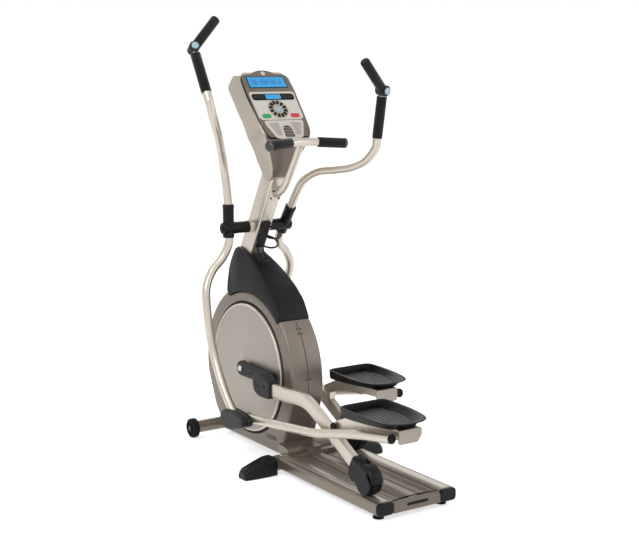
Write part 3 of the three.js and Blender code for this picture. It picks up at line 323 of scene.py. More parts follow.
def smooth_line(points, per_span=8):
    """Centripetal Catmull-Rom through the points."""
    line = [Vector(p) for p in points]
    ends = [line[0] * 2 - line[1]] + line + [line[-1] * 2 - line[-2]]
    result = []
    for i in range(len(line) - 1):
        p = ends[i:i + 4]
        knots = [0.0]
        for a, b in zip(p, p[1:]):
            knots.append(knots[-1] + max((b - a).length, 1e-6) ** 0.5)
        for k in range(per_span):
            t = knots[1] + (knots[2] - knots[1]) * k / per_span

            def mix(a, b, ta, tb):
                return a * ((tb - t) / (tb - ta)) + b * ((t - ta) / (tb - ta))
            a1, a2, a3 = (mix(p[j], p[j + 1], knots[j], knots[j + 1]) for j in range(3))
            b1 = mix(a1, a2, knots[0], knots[2])
            b2 = mix(a2, a3, knots[1], knots[3])
            result.append(mix(b1, b2, knots[1], knots[2]))
    result.append(line[-1])
    return result


def swept(line, section, side=None):
    """A section of (across, up) points along a line; the frame turns with the line."""
    rings = []
    normal = None
    for i, point in enumerate(line):
        along = (line[min(i + 1, len(line) - 1)] - line[max(i - 1, 0)]).normalized()
        if side is not None:
            across = side
        elif normal is None:
            across = along.orthogonal().normalized()
        else:
            across = (normal - along * normal.dot(along)).normalized()
        normal = across
        up = along.cross(across).normalized()
        rings.append([point + across * u + up * v for u, v in section])
    return lofted(rings)


def tube(points, radius, sides, per_span):
    """A round rod along smoothed points; per_span 1 keeps the points as they are."""
    line = smooth_line(points, per_span) if per_span > 1 else [Vector(p) for p in points]
    return swept(line, ring(0, 0, radius, sides))


def turned(profile, centre, sides=64):
    """A profile of (radius, x) turned about an axis along X."""
    rings = [[(x, centre[1] + r * math.cos(a), centre[2] + r * math.sin(a))
              for a in (2 * math.pi * k / sides for k in range(sides))] for r, x in profile]
    return lofted(rings, close=profile[0][0] > 0.5 and profile[0] != profile[-1])


def spun(profile, start, axis, sides=40):
    """A profile of (radius, distance) turned about any axis from a start point."""
    axis = Vector(axis).normalized()
    across = axis.orthogonal().normalized()
    other = axis.cross(across)
    turns = [2 * math.pi * k / sides for k in range(sides)]
    rings = []
    for radius, distance in profile:
        centre = Vector(start) + axis * distance
        reach = max(radius, THINNEST)
        rings.append([centre + (across * math.cos(a) + other * math.sin(a)) * reach for a in turns])
    return lofted(rings)


def screw(name, centre, axis, radius, finish, body="base", place=STAY):
    profile = [(radius, -3), (radius, 0.6), (radius - 0.8, 1.4), (radius * 0.45, 1.6), (radius * 0.4, 0.2)]
    piece(name, spun(profile, centre, axis, 20), finish, body, place)


def repaint(finish, *nodes):
    """Gives a finish to CAD nodes that stay visible."""
    for node in nodes:
        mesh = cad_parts[node].data
        mesh.materials.clear()
        mesh.materials.append(finish)


# ---- rails, feet and deck
RAIL_OUTLINE = soft_rect(99, 165, 18, 62, 13, 6)
RAIL_CAP_OUTLINE = soft_rect(99, 165, 18, 62, 15, 6)
for side in SIDES:
    place = FIXED[side]
    piece(f"rail_tube_{side}", plate(RAIL_OUTLINE, RAIL_ENDS, "y"), taupe, "base", place,
          [f"rail_{side}"], 1)
    track = plate(soft_rect(117, 147, 61, 62.8, 0.6, 2), (RAIL_ENDS[0] + 6, RAIL_ENDS[1] - 6), "y")
    piece(f"rail_track_{side}", track, silver, "base", place, bevel=0.4)
    cap = plate(RAIL_CAP_OUTLINE, (-44.3, -30.3), "y")
    piece(f"rail_end_{side}", cap, black, "base", place, [f"rail_cap_{side}"], 5, 4)
    pad = merge(spun([(19, 0), (19, 5), (16, 9), (8, 10.5)], (RAIL_X, 0, 0), ALONG_Z, 36),
                spun([(6, 9), (6, 40)], (RAIL_X, 0, 0), ALONG_Z, 16))
    piece(f"leveller_foot_{side}", pad, rubber, f"leveller_body_{side}", place, [f"leveller_{side}"])
    nut = spun([(10, 12), (11, 13), (11, 17.6), (10, 18)], (RAIL_X, 0, 0), ALONG_Z, 6)
    piece(f"leveller_nut_{side}", nut, dark_steel, "base", place, bevel=0.4)

FOOT_MIDDLE = 590.3
FOOT_STATIONS = [  # x, half its length, bottom and top
    (177.6, 38, 2, 66), (184, 39, 2, 66.4), (210, 38, 1, 65), (250, 35, 0, 54), (290, 31, 0, 40),
    (303, 29, 0, 34), (308, 26, 1, 28),
]
FOOT_RIDGE_TOPS = ((186, 66), (210, 65), (250, 54), (290, 40), (301, 35))


def foot_ridge(middle):
    return lofted([[(x, middle - 3, top - 3), (x, middle + 3, top - 3), (x, middle + 2, top + 1.6),
                    (x, middle - 2, top + 1.6)] for x, top in FOOT_RIDGE_TOPS])


for side in SIDES:
    rings = []
    for x, half, bottom, top in FOOT_STATIONS:
        corners = [(-half, bottom), (half, bottom), (half - 4, top - 9), (half - 13, top), (-half + 13, top),
                   (-half + 4, top - 9)]
        rings.append([(x, FOOT_MIDDLE + u, v) for u, v in eased(corners, 7, 4)])
    piece(f"foot_{side}", lofted(rings), black, "base", FIXED[side], [f"mid_foot_{side}"], 2, 3, crease=50)
    ridges = merge(*(foot_ridge(FOOT_MIDDLE + v) for v in (-15, 0, 15)))
    piece(f"foot_ridges_{side}", ridges, black, "base", FIXED[side], bevel=0.8)
    sleeve = plate(soft_rect(572.3, 608.3, 14, 60, 8, 5), (150, 177.4), "x")
    piece(f"cross_tube_end_{side}", sleeve, silver, "base", FIXED[side], bevel=0.6)

deck = plate([
    (-98.7, 22), (-98.7, 50), (-90, 56), (-84, 56), (-80, 46), (-60, 44), (-56, 47), (-50, 47), (-46, 43),
    (-26, 43), (-20, 54), (-14, 56), (14, 56), (20, 54), (26, 43), (46, 43), (50, 47), (56, 47), (60, 44),
    (80, 46), (84, 56), (90, 56), (98.7, 50), (98.7, 22), (94, 22), (94, 38), (-94, 38), (-94, 22),
], (-26, 572), "y")
piece("deck_panel", deck, taupe, "base", STAY, ["deck_cover"], 2.2, 3)
LIP_HALF = 98.4
LIP_STEPS = 12
lip = []
for k in range(LIP_STEPS + 1):
    t = k / LIP_STEPS
    y = -41.5 + 17 * t
    lift = 57.5 - 7 * (1 - t) ** 2.2
    lip.append([(-LIP_HALF, y, 19), (LIP_HALF, y, 19), (LIP_HALF, y, lift - 2), (60, y, lift), (-60, y, lift),
                (-LIP_HALF, y, lift - 2)])
piece("deck_end_cover", lofted(lip), bezel_taupe, "base", STAY, bevel=2, segments=3)
badge = plate(soft_rect(-44, 44, 36, 46, 4, 3), (-42.9, -41), "y")
piece("deck_end_badge", badge, soft_black, "base", STAY, bevel=0.6)
bowed = [(-96 + 12 * k, -24 + 12 * (1 - (k / 8 - 1) ** 2)) for k in range(17)]
deck_seam = lofted([[(x, y + w, z) for w, z in rect(-1.6, 1.6, 47, 57.6)] for x, y in bowed])
piece("deck_end_seam", deck_seam, soft_black, "base")

# ---- base frame skins
repaint(taupe, "base_frame")
stabilizer = tube([STABILIZER - ALONG_X * 183.6, STABILIZER + ALONG_X * 183.6], 24.5, 40, 1)
piece("stabilizer_tube", stabilizer, taupe, "base", bevel=1.5)
piece("cross_tube", plate(soft_rect(571.9, 608.7, 13.6, 60.4, 8, 5),
                          (-150, 150), "x"), taupe, "base", bevel=0.6)
bridge = plate([(608, 43.6), (608, 62), (616, 70), (632, 76.4), (679, 77.4), (679, 43.6)], (-98.4, 98.4))
piece("bridge_skin", bridge, taupe, "base", bevel=2, segments=3)
for side in SIDES:
    boss = spun([(17, 0), (17, 3), (14, 5), (6, 5.4)], (128, 590, 60), ALONG_Z, 36)
    piece(f"tube_boss_{side}", boss, silver, "base", FIXED[side])
piece("spine_skin", plate(soft_rect(-30.3, 30.3, 21.6, 75.3, 6, 4), (609, 700), "y"),
      taupe, "base", bevel=0.6)
for side in SIDES:
    place = FIXED[side]
    wheel = turned([
        (6.5, 185), (16, 185), (17, 188), (26, 188), (27, 185), (34, 185), (37.6, 187.5), (38.5, 191),
        (38.5, 205), (37.6, 208.5), (34, 211), (27, 211), (26, 207), (17, 207), (16, 211), (6.5, 211),
        (6.5, 185),
    ], WHEEL)
    piece(f"wheel_{side}", wheel, rubber, f"wheel_body_{side}", place, [f"transport_wheel_{side}"])
    bolt = spun([(9, 0), (9, 3), (7.5, 4.4)], WHEEL + ALONG_X * 211.4, ALONG_X, 24)
    piece(f"wheel_bolt_{side}", bolt, dark_steel, "base", place)

# ---- housing
def housing_outline():
    """The side view of a shell as (y, z), sunk where the top shroud sits on it."""
    y, z = HOUSING.y, HOUSING.z
    return (arc(y, z, HOUSING_RADIUS, -12, 62, 24) + arc(y, z, SEAT_RADIUS, 62, 136, 24)
            + arc(y, z, HOUSING_RADIUS, 136, 192, 20)
            + [(y - 290, 150), (y - 243, 20), (y + 190, 20), (y + 262, 110)])


def seen_from(centre, outline, angles):
    """The outline's points at those angles round a centre inside it."""
    result = []
    count = len(outline)
    for angle in angles:
        ray = Vector((math.cos(angle), math.sin(angle)))
        best = 0
        for i in range(count):
            a = Vector(outline[i]) - centre
            edge = Vector(outline[(i + 1) % count]) - centre - a
            cross = ray.x * edge.y - ray.y * edge.x
            if abs(cross) < 1e-9:
                continue
            distance = (a.x * edge.y - a.y * edge.x) / cross
            along = (a.x * ray.y - a.y * ray.x) / cross
            if -1e-6 <= along <= 1 + 1e-6:
                best = max(best, distance)
        result.append(best)
    return result


hub = Vector((CRANK.y, CRANK.z))
corner_angles = [math.atan2(z - hub.y, y - hub.x) % (2 * math.pi) for y, z in housing_outline()]
even_angles = [2 * math.pi * k / 96 for k in range(96)]
shell_angles = sorted(set(round(a, 4) for a in corner_angles + even_angles))
shell_reach = seen_from(hub, housing_outline(), shell_angles)


def shell_ring(x, inset):
    return [(x, hub.x + (r - inset) * math.cos(a), hub.y + (r - inset) * math.sin(a))
            for a, r in zip(shell_angles, shell_reach)]


def hole_ring(x, radius):
    return [(x, hub.x + radius * math.cos(a), hub.y + radius * math.sin(a)) for a in shell_angles]


for side in SIDES:
    rounding = [(56 + 14 * math.sin(math.radians(t)), 14 - 14 * math.cos(math.radians(t)))
                for t in (0, 18, 36, 54, 72, 90)]
    rings = [shell_ring(0.15, 4), shell_ring(0.15, 1.2), shell_ring(1.2, 0)]
    rings += [shell_ring(x, inset) for x, inset in rounding]
    rings += [hole_ring(HOUSING_HALF, 261), hole_ring(69, 260.2), hole_ring(61, 260.2), hole_ring(60.5, 40)]
    piece(f"housing_shell_{side}", lofted(rings, close=False), shell_taupe, "base", FIXED[side],
          [f"side_shell_{side}"], crease=40)
    groove = turned([(260.4, 61.5), (260.4, 69.2), (251.2, 69.2), (251.2, 61.5), (260.4, 61.5)], CRANK, 128)
    piece(f"disc_groove_{side}", groove, soft_black, "base", FIXED[side])

for number, (turn, gap) in enumerate([(142.5, 8), (146, 8), (177, 9)]):
    for x in (-gap, gap):
        angle = math.radians(turn)
        out = Vector((0, math.cos(angle), math.sin(angle)))
        screw(f"shell_screw_{number}_{'a' if x < 0 else 'b'}",
              Vector((x, HOUSING.y, HOUSING.z)) + out * 324.6, out, 3.4, soft_black)
seam_arc = [math.radians(a) for a in range(137, 192, 3)]
seam_line = [Vector((0, HOUSING.y + 325.1 * math.cos(a), HOUSING.z + 325.1 * math.sin(a))) for a in seam_arc]
piece("shell_seam", swept(seam_line, rect(-1, 1, -1, 0.4), side=ALONG_X), soft_black, "base")

BADGE = soft_rect(736, 804, 66, 82, 8, 4)
for side in SIDES:
    piece(f"shell_badge_{side}", plate(BADGE, (69, 71.4)), dark_steel, "base", FIXED[side], bevel=1)

SHROUD_FRONT = 62.4    # degrees round the middle of the housing
SHROUD_REAR = 135.6
SHROUD_STEPS = 44
rear_foot = arc(HOUSING.y, HOUSING.z, 325.4, SHROUD_REAR, 0, 1)[0]
SHROUD = [(HOUSING.y + 160, 612), (HOUSING.y + 161, 700), (HOUSING.y + 134, 770), (HOUSING.y + 100, 776),
          (HOUSING.y + 40, 752), (HOUSING.y - 38, 718), (HOUSING.y - 94, 686), (HOUSING.y - 148, 647),
          (HOUSING.y - 196, 594), rear_foot]


def shroud_half(z):
    return HOUSING_HALF if z < 600 else HOUSING_HALF - 27 * min(1, (z - 600) / 175)


middle = Vector((HOUSING.y, HOUSING.z))
shroud_shape = eased(SHROUD + [(HOUSING.y - 215, 500), (HOUSING.y + 120, 500)], 22, 6)
shroud_angles = [math.radians(SHROUD_FRONT + (SHROUD_REAR - SHROUD_FRONT) * k / SHROUD_STEPS)
                 for k in range(SHROUD_STEPS + 1)]
reach = seen_from(middle, shroud_shape, shroud_angles)
rings = []
for angle, top in zip(shroud_angles, reach):
    section = []
    for radius, inset in ((305.4, 0), (310, 0), (top - 9, 0), (top - 4, 1.5), (top - 1, 5), (top, 11)):
        z = middle.y + radius * math.sin(angle)
        section.append((shroud_half(z) - inset, radius))
    both = section + [(-x, r) for x, r in reversed(section)]
    rings.append([(x, middle.x + r * math.cos(angle), middle.y + r * math.sin(angle)) for x, r in both])
piece("housing_top", lofted(rings), black, "base", STAY, ["top_shroud"], crease=28)

# ---- mast
mast = plate(soft_rect(-30, 30, -40, 40, 9), (0, MAST_LENGTH), "z")
piece("mast_tube", mast, silver, "base", MAST_FRAME, ["mast"], 1, 2)
piece("pivot_shaft", tube([(-101, PIVOT.y, PIVOT.z), (101, PIVOT.y, PIVOT.z)], 14, 32, 1), steel, "base")
for side in SIDES:
    collar = turned([(14.2, 30), (27, 30), (27, 33), (24, 35), (24, 40), (14.2, 40)], PIVOT, 40)
    piece(f"pivot_collar_{side}", collar, silver, "base", FIXED[side])
    cap = spun([(15, 0), (15, 1.5), (12.5, 3.5), (6, 4.6)], (152.4, PIVOT.y, PIVOT.z), ALONG_X, 32)
    piece(f"pivot_cap_{side}", cap, soft_black, f"swing_{side}", SWING[side])

# ---- crank and drive
repaint(grey, "drive_pulley")
repaint(iron, "flywheel")
repaint(rubber, "drive_belt")
repaint(steel, "crank_axle")
for side in SIDES:
    place = FIXED[side]
    toward = -1 if side == "left" else 1
    dish = turned([
        (12.8, 66), (246, 66), (250, 69), (250, 75.5), (248.5, 77.6), (246, 78), (241, 78), (239, 77.2),
        (237, 75.6), (180, 76.0), (110, 76.5), (40, 77), (34, 78.5), (31, 83.7), (12.8, 83.7), (12.8, 66),
    ], CRANK, 128)
    piece(f"crank_disc_{side}", dish, disc_taupe, "crank", place, [f"disc_{side}"])
    bright_ring = turned([
        (250.2, 70), (250.2, 75.5), (248.6, 77.8), (246, 78.2), (243.4, 78.2), (243.4, 77.6), (246, 77.4),
        (248, 77), (249.4, 75), (249.4, 70), (250.2, 70),
    ], CRANK, 128)
    piece(f"disc_rim_{side}", bright_ring, silver, "crank", place)
    pin = Vector((0, CRANK.y + toward * CRANK_RADIUS, CRANK.z))
    turn = 0 if toward < 0 else 180
    outline = (arc(CRANK.y, CRANK.z, 29, turn - 90, turn + 90, 18)
               + arc(pin.y, pin.z, 24, 90 - turn, 270 - turn, 18))
    piece(f"crank_bar_{side}", plate(outline, (84, 104)), black, "crank", place, [f"crank_arm_{side}"], 4, 3)
    stud = spun([(20, 0), (20, 15)], (103.7, pin.y, pin.z), ALONG_X, 32)
    piece(f"crank_pin_{side}", stud, steel, "crank", place)
    bolt = spun([(12, 0), (12, 3.2), (10.5, 5), (6, 5.6)], (103.8, CRANK.y, CRANK.z), ALONG_X, 40)
    piece(f"crank_bolt_{side}", bolt, steel, "crank", place)
    rib_line = rect(toward * 44, toward * 178, 9, 14)
    ribs = merge(
        plate([(CRANK.y + u, CRANK.z + v) for u, v in rib_line], (103, 105.6)),
        plate([(CRANK.y + u, CRANK.z - v) for u, v in rib_line], (103, 105.6)))
    piece(f"crank_ribs_{side}", ribs, black, "crank", place, bevel=1)

# ---- roller arms
ARM_LINE = [(RAIL_X, y, z) for y, z in (
    (PIN_Y - 42, 292), (PIN_Y - 159, 294), (PIN_Y - 219, 300), (PIN_Y - 279, 300), (PIN_Y - 319, 290),
    (PIN_Y - 361, 270), (PIN_Y - 419, 241), (PIN_Y - 507, 195), (ROLLER.y + 69, ROLLER.z + 40),
    (ROLLER.y + 44, ROLLER.z + 27))]
CHEEK_BACK = [(60, -14), (88, 8), (58, 68), (38, 66), (6, 57), (-34, 36)]
COLLAR_STATIONS = [  # forward and up from the roller axle, half width and half height
    (82, 47, 19, 31), (78, 45, 21.5, 34), (66, 39, 24, 35.5), (54, 33, 25.5, 34), (42, 27, 25.8, 31),
    (31, 21.5, 25.4, 28),
]
HOOD_START = 36    # degrees round the roller axle
HOOD_END = 172
for side in SIDES:
    place = WALK[side]
    body = f"arm_{side}"
    beam = swept(smooth_line(ARM_LINE, 6), soft_rect(-13, 13, -25, 25, 8), side=ALONG_X)
    piece(f"arm_beam_{side}", beam, silver, body, place, [f"roller_arm_{side}"])
    web = rect(ARM_PIVOT.y - 14, ARM_PIVOT.y + 14, ARM_PIVOT.z - 40, ARM_PIVOT.z)
    boss = merge(spun([(17, 0), (17, 26)], (119, ARM_PIVOT.y, ARM_PIVOT.z), ALONG_X, 40),
                 plate(web, (119, 145)))
    piece(f"arm_boss_{side}", boss, silver, body, place, bevel=0.8)
    fork_outline = (arc(ROLLER.y, ROLLER.z, 18, 130, 310, 16)
                    + [(ROLLER.y + 74, ROLLER.z + 22), (ROLLER.y + 62, ROLLER.z + 58)])
    fork = [plate(fork_outline, span) for span in ((114, 119.4), (144.6, 150))]
    piece(f"arm_fork_{side}", merge(*fork), dark_steel, body, place, bevel=1)
    head = plate(eased([(PIN_Y - 66, 259), (PIN_Y + 12, 256.5), (PIN_Y + 44, 272), (PIN_Y + 52, 300),
                        (PIN_Y + 50, 331), (PIN_Y + 18, 342.5), (PIN_Y - 66, 325)], 16, 5), (107.5, 154))
    piece(f"arm_head_{side}", head, grey, body, place, [f"arm_shroud_{side}"], 6, 4)
    collar = plate(eased([(PIN_Y - 71, 263), (PIN_Y - 60, 262), (PIN_Y - 60, 322), (PIN_Y - 71, 321)], 3, 3),
                   (118, 151))
    piece(f"arm_head_collar_{side}", collar, black, body, place, bevel=2)
    screw(f"arm_head_screw_{side}", (153.8, PIN_Y - 30, 303), ALONG_X, 4.5, soft_black, body, place)
    head_seam = plate([(PIN_Y - 58, 291), (PIN_Y + 44, 300), (PIN_Y + 44, 301.4), (PIN_Y - 58, 292.4)],
                      (153.6, 154.3))
    piece(f"arm_head_seam_{side}", head_seam, soft_black, body, place)
    pivot_bolt = spun([(15, 0), (15, 5), (12, 8), (5, 8.6)], (158, ARM_PIVOT.y, ARM_PIVOT.z), ALONG_X, 32)
    piece(f"arm_pivot_bolt_{side}", pivot_bolt, soft_black, f"link_{side}", place)

    tyre = turned([
        (8.3, 120), (20, 120), (21, 123), (36, 123), (37, 120), (44, 120), (45.7, 122), (45.7, 142),
        (44, 144), (37, 144), (36, 141), (21, 141), (20, 144), (8.3, 144), (8.3, 120),
    ], ROLLER)
    piece(f"roller_{side}_tyre", tyre, rubber, f"roller_{side}", place, [f"roller_wheel_{side}"])
    axle = merge(spun([(8, 0), (8, 42)], (111, ROLLER.y, ROLLER.z), ALONG_X, 28),
                 spun([(12, -1), (12, 3)], (111, ROLLER.y, ROLLER.z), ALONG_X, 6),
                 spun([(12, 0), (12, 4)], (149.6, ROLLER.y, ROLLER.z), ALONG_X, 6))
    piece(f"axle_{side}", axle, dark_steel, f"carriage_{side}", place, [f"roller_axle_{side}"], 0.6)
    cheek = arc(ROLLER.y, ROLLER.z, 41, 172, 330, 26) + eased(
        [(ROLLER.y + u, ROLLER.z + v) for u, v in CHEEK_BACK], 14, 4)
    cheeks = [plate(cheek, span) for span in ((105, 113.7), (150.3, 159))]
    piece(f"roller_cheeks_{side}", merge(*cheeks), black, body, place, [f"roller_shroud_{side}"], 4, 4)
    rings = []
    for turn in range(HOOD_START, HOOD_END + 1, 8):
        a = math.radians(turn)
        swell = 56 + 5 * math.sin(math.pi * (turn - HOOD_START) / (HOOD_END - HOOD_START))
        section = [(106, 48.8), (107, swell - 6), (113, swell - 1), (132, swell), (151, swell - 1),
                   (157, swell - 6), (158, 48.8)]
        rings.append([(x, ROLLER.y + r * math.cos(a), ROLLER.z + r * math.sin(a)) for x, r in section])
    piece(f"roller_hood_{side}", lofted(rings), black, body, place, bevel=1.2, crease=45)
    rings = []
    for u, v, wide, tall in COLLAR_STATIONS:
        rings.append([Vector((RAIL_X + a, ROLLER.y + u - 0.46 * b, ROLLER.z + v + 0.887 * b))
                      for a, b in soft_rect(-wide, wide, -tall, tall, 13, 6)])
    piece(f"roller_collar_{side}", lofted(rings), black, body, place, bevel=1.5, segments=3, crease=50)

# ---- pedal links
PLATFORM = PEDAL_FLOOR - 0.4
LINK_LINE = [(LINK_X, y, z) for y, z in (
    (BAR_FOOT.y, BAR_FOOT.z), (525, 199), (300, 225), (205, 246), (60, 279), (-137, 312))]
for side in SIDES:
    place = WALK[side]
    body = f"link_{side}"
    piece(f"link_tube_{side}", tube(LINK_LINE, 16, 36, 10), silver, body, place, [f"pedal_link_{side}"])
    bush = turned([(0.1, 168), (19.5, 168), (21, 169.5), (21, 201.4), (19.5, 202.7), (0.1, 202.7)],
                  BAR_FOOT, 40)
    piece(f"link_bush_{side}", bush, silver, body, place)
    plug = spun([(15.2, -4), (15.2, 0.4), (16.2, 0.6), (16.2, 2.4), (13, 3.6), (5, 2.4)],
                LINK_LINE[-1], (0, -0.986, 0.165), 36)
    piece(f"link_plug_{side}", plug, soft_black, body, place)
    ears = [plate(arc(ARM_PIVOT.y, ARM_PIVOT.z, 17, -110, 70, 16)
                  + [(150, 312), (116, PLATFORM), (-145, PLATFORM), (-145, 300), (60, 290), (130, 272)], span)
            for span in ((112.5, 116.5), (147.5, 151.5))]
    piece(f"link_ears_{side}", merge(*ears), silver, body, place, bevel=0.8)
    platform = plate(rect(78, 164, -145, 120), (PLATFORM - 4, PLATFORM), "z")
    piece(f"pedal_platform_{side}", platform, silver, body, place, bevel=0.6)
    # The rear plate is silver like the ears; its darker disc_taupe finish is painted shade beneath the pedal.
    rear = plate(eased([(74, PLATFORM), (74, 313), (90, 291), (162, 291), (165, 297), (165, PLATFORM)], 5, 4),
                 (-152, -145), "y")
    piece(f"pedal_rear_plate_{side}", rear, disc_taupe, body, place, bevel=1)
    tabs = [plate(rect(148, 177, z - 6, z + 8), span, "y")
            for span, z in (((-120, -80), 304), ((40, 90), 277))]
    piece(f"link_tabs_{side}", merge(*tabs), silver, body, place, bevel=0.8)

# ---- pedals
PEDAL_FRONT = 107
PEDAL_REAR = -178
HALF_SHAPE = [(92, PEDAL_FRONT), (99, 60), (102, -58), (86, -145), (40, PEDAL_REAR)]
pedal_outline = eased([(PEDAL_X - x, y) for x, y in HALF_SHAPE]
                      + [(PEDAL_X + x, y) for x, y in reversed(HALF_SHAPE)], 38, 9)


def inward(points):
    """Unit vectors that point into the outline, one for each of its points."""
    result = []
    count = len(points)
    for i in range(count):
        before = Vector(points[i - 1])
        after = Vector(points[(i + 1) % count])
        along = (after - before).normalized()
        result.append(Vector((-along.y, along.x)))
    area = sum(points[i - 1][0] * points[i][1] - points[i][0] * points[i - 1][1] for i in range(count))
    return result if area > 0 else [-n for n in result]


pedal_inward = inward(pedal_outline)


PEDAL_PROFILE = [  # inset at the front, more inset at the rear, 1 where it follows the rim, rise
    (5, 36, 0, 0), (1.6, 32, 0, 3), (0.6, 19, 1, -8), (0, 0, 1, -2.6), (0.8, 0, 1, -0.8), (2.4, 0, 1, 0),
    (5, 11, 1, 0), (6.6, 11, 1, -1.2), (8, 16, 1, -5), (10, 36, 0, 7), (13, 36, 0, 5),
]


def pedal_ring(front_inset, rear_inset, on_rim, rise):
    points = []
    for (x, y), n in zip(pedal_outline, pedal_inward):
        front = (y - PEDAL_REAR) / (PEDAL_FRONT - PEDAL_REAR)
        front = front * front * (3 - 2 * front)
        inset = front_inset + rear_inset * (1 - front)
        rim_height = 27 + 6 * front
        points.append((x + n.x * inset, y + n.y * inset, PEDAL_FLOOR + on_rim * rim_height + rise))
    return points


for side in SIDES:
    place = WALK[side]
    body = f"link_{side}"
    rings = [pedal_ring(*row) for row in PEDAL_PROFILE]
    piece(f"pedal_tray_{side}", lofted(rings), black, body, place, [f"pedal_{side}"], crease=50)
    ribs = []
    for x in range(-64, 65, 16):
        outline = rect(PEDAL_X + x - 4, PEDAL_X + x + 4, -122 + 0.5 * abs(x), 86)
        ribs.append(plate(outline, (PEDAL_FLOOR + 4.6, PEDAL_FLOOR + 7.2), "z"))
    piece(f"pedal_tread_{side}", merge(*ribs), tread, body, place, bevel=0.6)

# ---- swinging handlebars
grip_foot = Vector((279.5, 847, 1350))
knuckle = Vector((286, 945, 1537))
top_end = Vector((175, 975, 1645))
grip_along = (knuckle - grip_foot).normalized()
top_along = (top_end - knuckle).normalized()
knuckle_axis = grip_along.cross(top_along).normalized()
BAR_LINE = [
    BAR_FOOT, (227, 832, 238), (226, 890, 312), (228, 940, 416), (236, 958, 534), (230, 975, 640),
    (196, 990, 698), (150, 992, 745), (125, 985, 800), (125, PIVOT.y, PIVOT.z), (125, 985, 935),
    (128, 990, 1010), (137, 990, 1075), (163, 962, 1142), (201, 911, 1192), (233, 872, 1235),
    (262, 848, 1286), grip_foot,
    grip_foot + grip_along * 12, grip_foot + grip_along * 50, knuckle - grip_along * 20.3,
]
for side in SIDES:
    place = SWING[side]
    body = f"swing_{side}"
    piece(f"bar_{side}", tube(BAR_LINE, BAR_RADIUS, 36, 8), silver, body, place, [f"handlebar_{side}"])
    foot_bush = turned([(0.1, 203.4), (20, 203.4), (21, 204.4), (21, 238), (20, 239), (0.1, 239)],
                       BAR_FOOT, 40)
    piece(f"bar_foot_bush_{side}", foot_bush, silver, body, place)
    across = spun([(20.5, 0), (23, 1.5), (23, 8), (22.2, 9), (22.2, 50), (23, 51), (23, 100), (23, 107),
                   (20, 110.4)], (42, PIVOT.y, PIVOT.z), ALONG_X, 44)
    upright = spun([(20, 0), (22, 1.5), (22, 12), (21.2, 13), (21.2, 112), (22, 113), (22, 126), (19.5, 128)],
                   (125, PIVOT.y, PIVOT.z - 36), ALONG_Z, 44)
    piece(f"sleeve_{side}", merge(across, upright), black, body, place, [f"handlebar_sleeve_{side}"])
    start = grip_foot + grip_along * 33
    length = (knuckle - grip_along * 22 - start).length
    grip = spun([(16.6, 0), (18.2, 0.4), (19, 1.8), (19, length - 2), (18.2, length - 0.5), (16.6, length)],
                start, grip_along, 44)
    pad = piece(f"bar_foam_{side}", grip, foam, body, place, [f"foam_grip_{side}"])

    body = f"top_grip_body_{side}"
    post = spun([(18, 0), (20, 2), (20, 42), (18, 44)], knuckle - knuckle_axis * 22, knuckle_axis, 44)
    post_ring = spun(rect(14.6, 17.4, 0, 1.4), knuckle + knuckle_axis * 21.6, knuckle_axis, 44)
    start = knuckle + top_along * 8
    length = (top_end - start).length
    handle = spun([(16, 0), (18, 6), (18, length - 5), (16.8, length - 1.4), (13, length)],
                  start, top_along, 44)
    piece(f"top_grip_foam_{side}", merge(post, handle), foam, body, place, [f"top_grip_{side}"])
    piece(f"button_collar_{side}", post_ring, dark_steel, body, place)
    button = spun([(13, 0), (13, 7.5), (12, 9.2), (8, 10.2), (3, 10.5)],
                  knuckle + knuckle_axis * 18.4, knuckle_axis, 40)
    piece(f"thumb_button_{side}", button, button_blue, f"grip_button_body_{side}", place,
          [f"grip_button_{side}"])

    body = f"swing_{side}"
    y, z = BAR_FOOT.y, BAR_FOOT.z
    outline = eased([(y - 86, z - 10), (y + 4, z - 38), (y + 68, z - 38), (y + 82, z + 10), (y + 50, z + 37),
                     (y - 20, z + 34), (y - 86, z + 24)], 24, 6)
    cover = merge(plate(outline, (204, 228.8)), plate(outline, (229.4, 255)))
    piece(f"bar_foot_cover_{side}", cover, grey, body, place, [f"joint_cover_{side}"], 6, 4)

# ---- fixed handlebar
STEM_FOOT = 339
bar_end = Vector((165, 622, 1193))
bar_bend = Vector((52, 646, 1200))
half_bar = [Vector((30, 650, 1201)), bar_bend, bar_end]
left_half = [Vector((-p.x, p.y, p.z)) for p in reversed(half_bar)]
cross_bar = tube(left_half + [Vector((0, 651, 1201))] + half_bar, 15, 32, 8)
stem_foot = MAST_FRAME @ Vector((0, 41, STEM_FOOT))
stem = tube([stem_foot, stem_foot + Vector((0, -34, 8)), (0, 775, 1032), (0, 746, 1074), (0, 716, 1120),
             (0, 690, 1162), (0, 672, 1189), (0, 651, 1201)], 14, 32, 8)
piece("fixed_bar", merge(cross_bar, stem), silver, "base", STAY, ["fixed_handlebar"])
bracket = plate(rect(-26, 26, STEM_FOOT - 30, STEM_FOOT + 30), (40.3, 47), "y")
piece("fixed_bar_plate", bracket, silver, "base", MAST_FRAME, bevel=2)
for side in SIDES:
    along = (bar_end - bar_bend).normalized()
    start = bar_bend + along * 6
    length = (bar_end - start).length + 4
    grip = spun([(15.6, 0), (17.8, 0.8), (18.5, 2.5), (18.5, length - 8), (17.2, length - 3),
                 (13.5, length - 0.6), (6, length)], start, along, 40)
    pad = piece(f"fixed_foam_{side}", grip, foam, "base", FIXED[side], [f"fixed_grip_{side}"])
    plug = spun([(17.4, -7), (18.9, -6), (18.9, 0.5), (16, 4.4), (10, 6.6), (3, 7.2)], bar_end, along, 36)
    piece(f"fixed_plug_{side}", plug, dark_steel, "base", FIXED[side])
    for number, along_mast in enumerate((STEM_FOOT - 17, STEM_FOOT + 17)):
        spot = MAST_FRAME @ Vector((17, 47, along_mast))
        screw(f"plate_bolt_{side}_{number}", spot, mast_rear, 5, dark_steel, "base", FIXED[side])

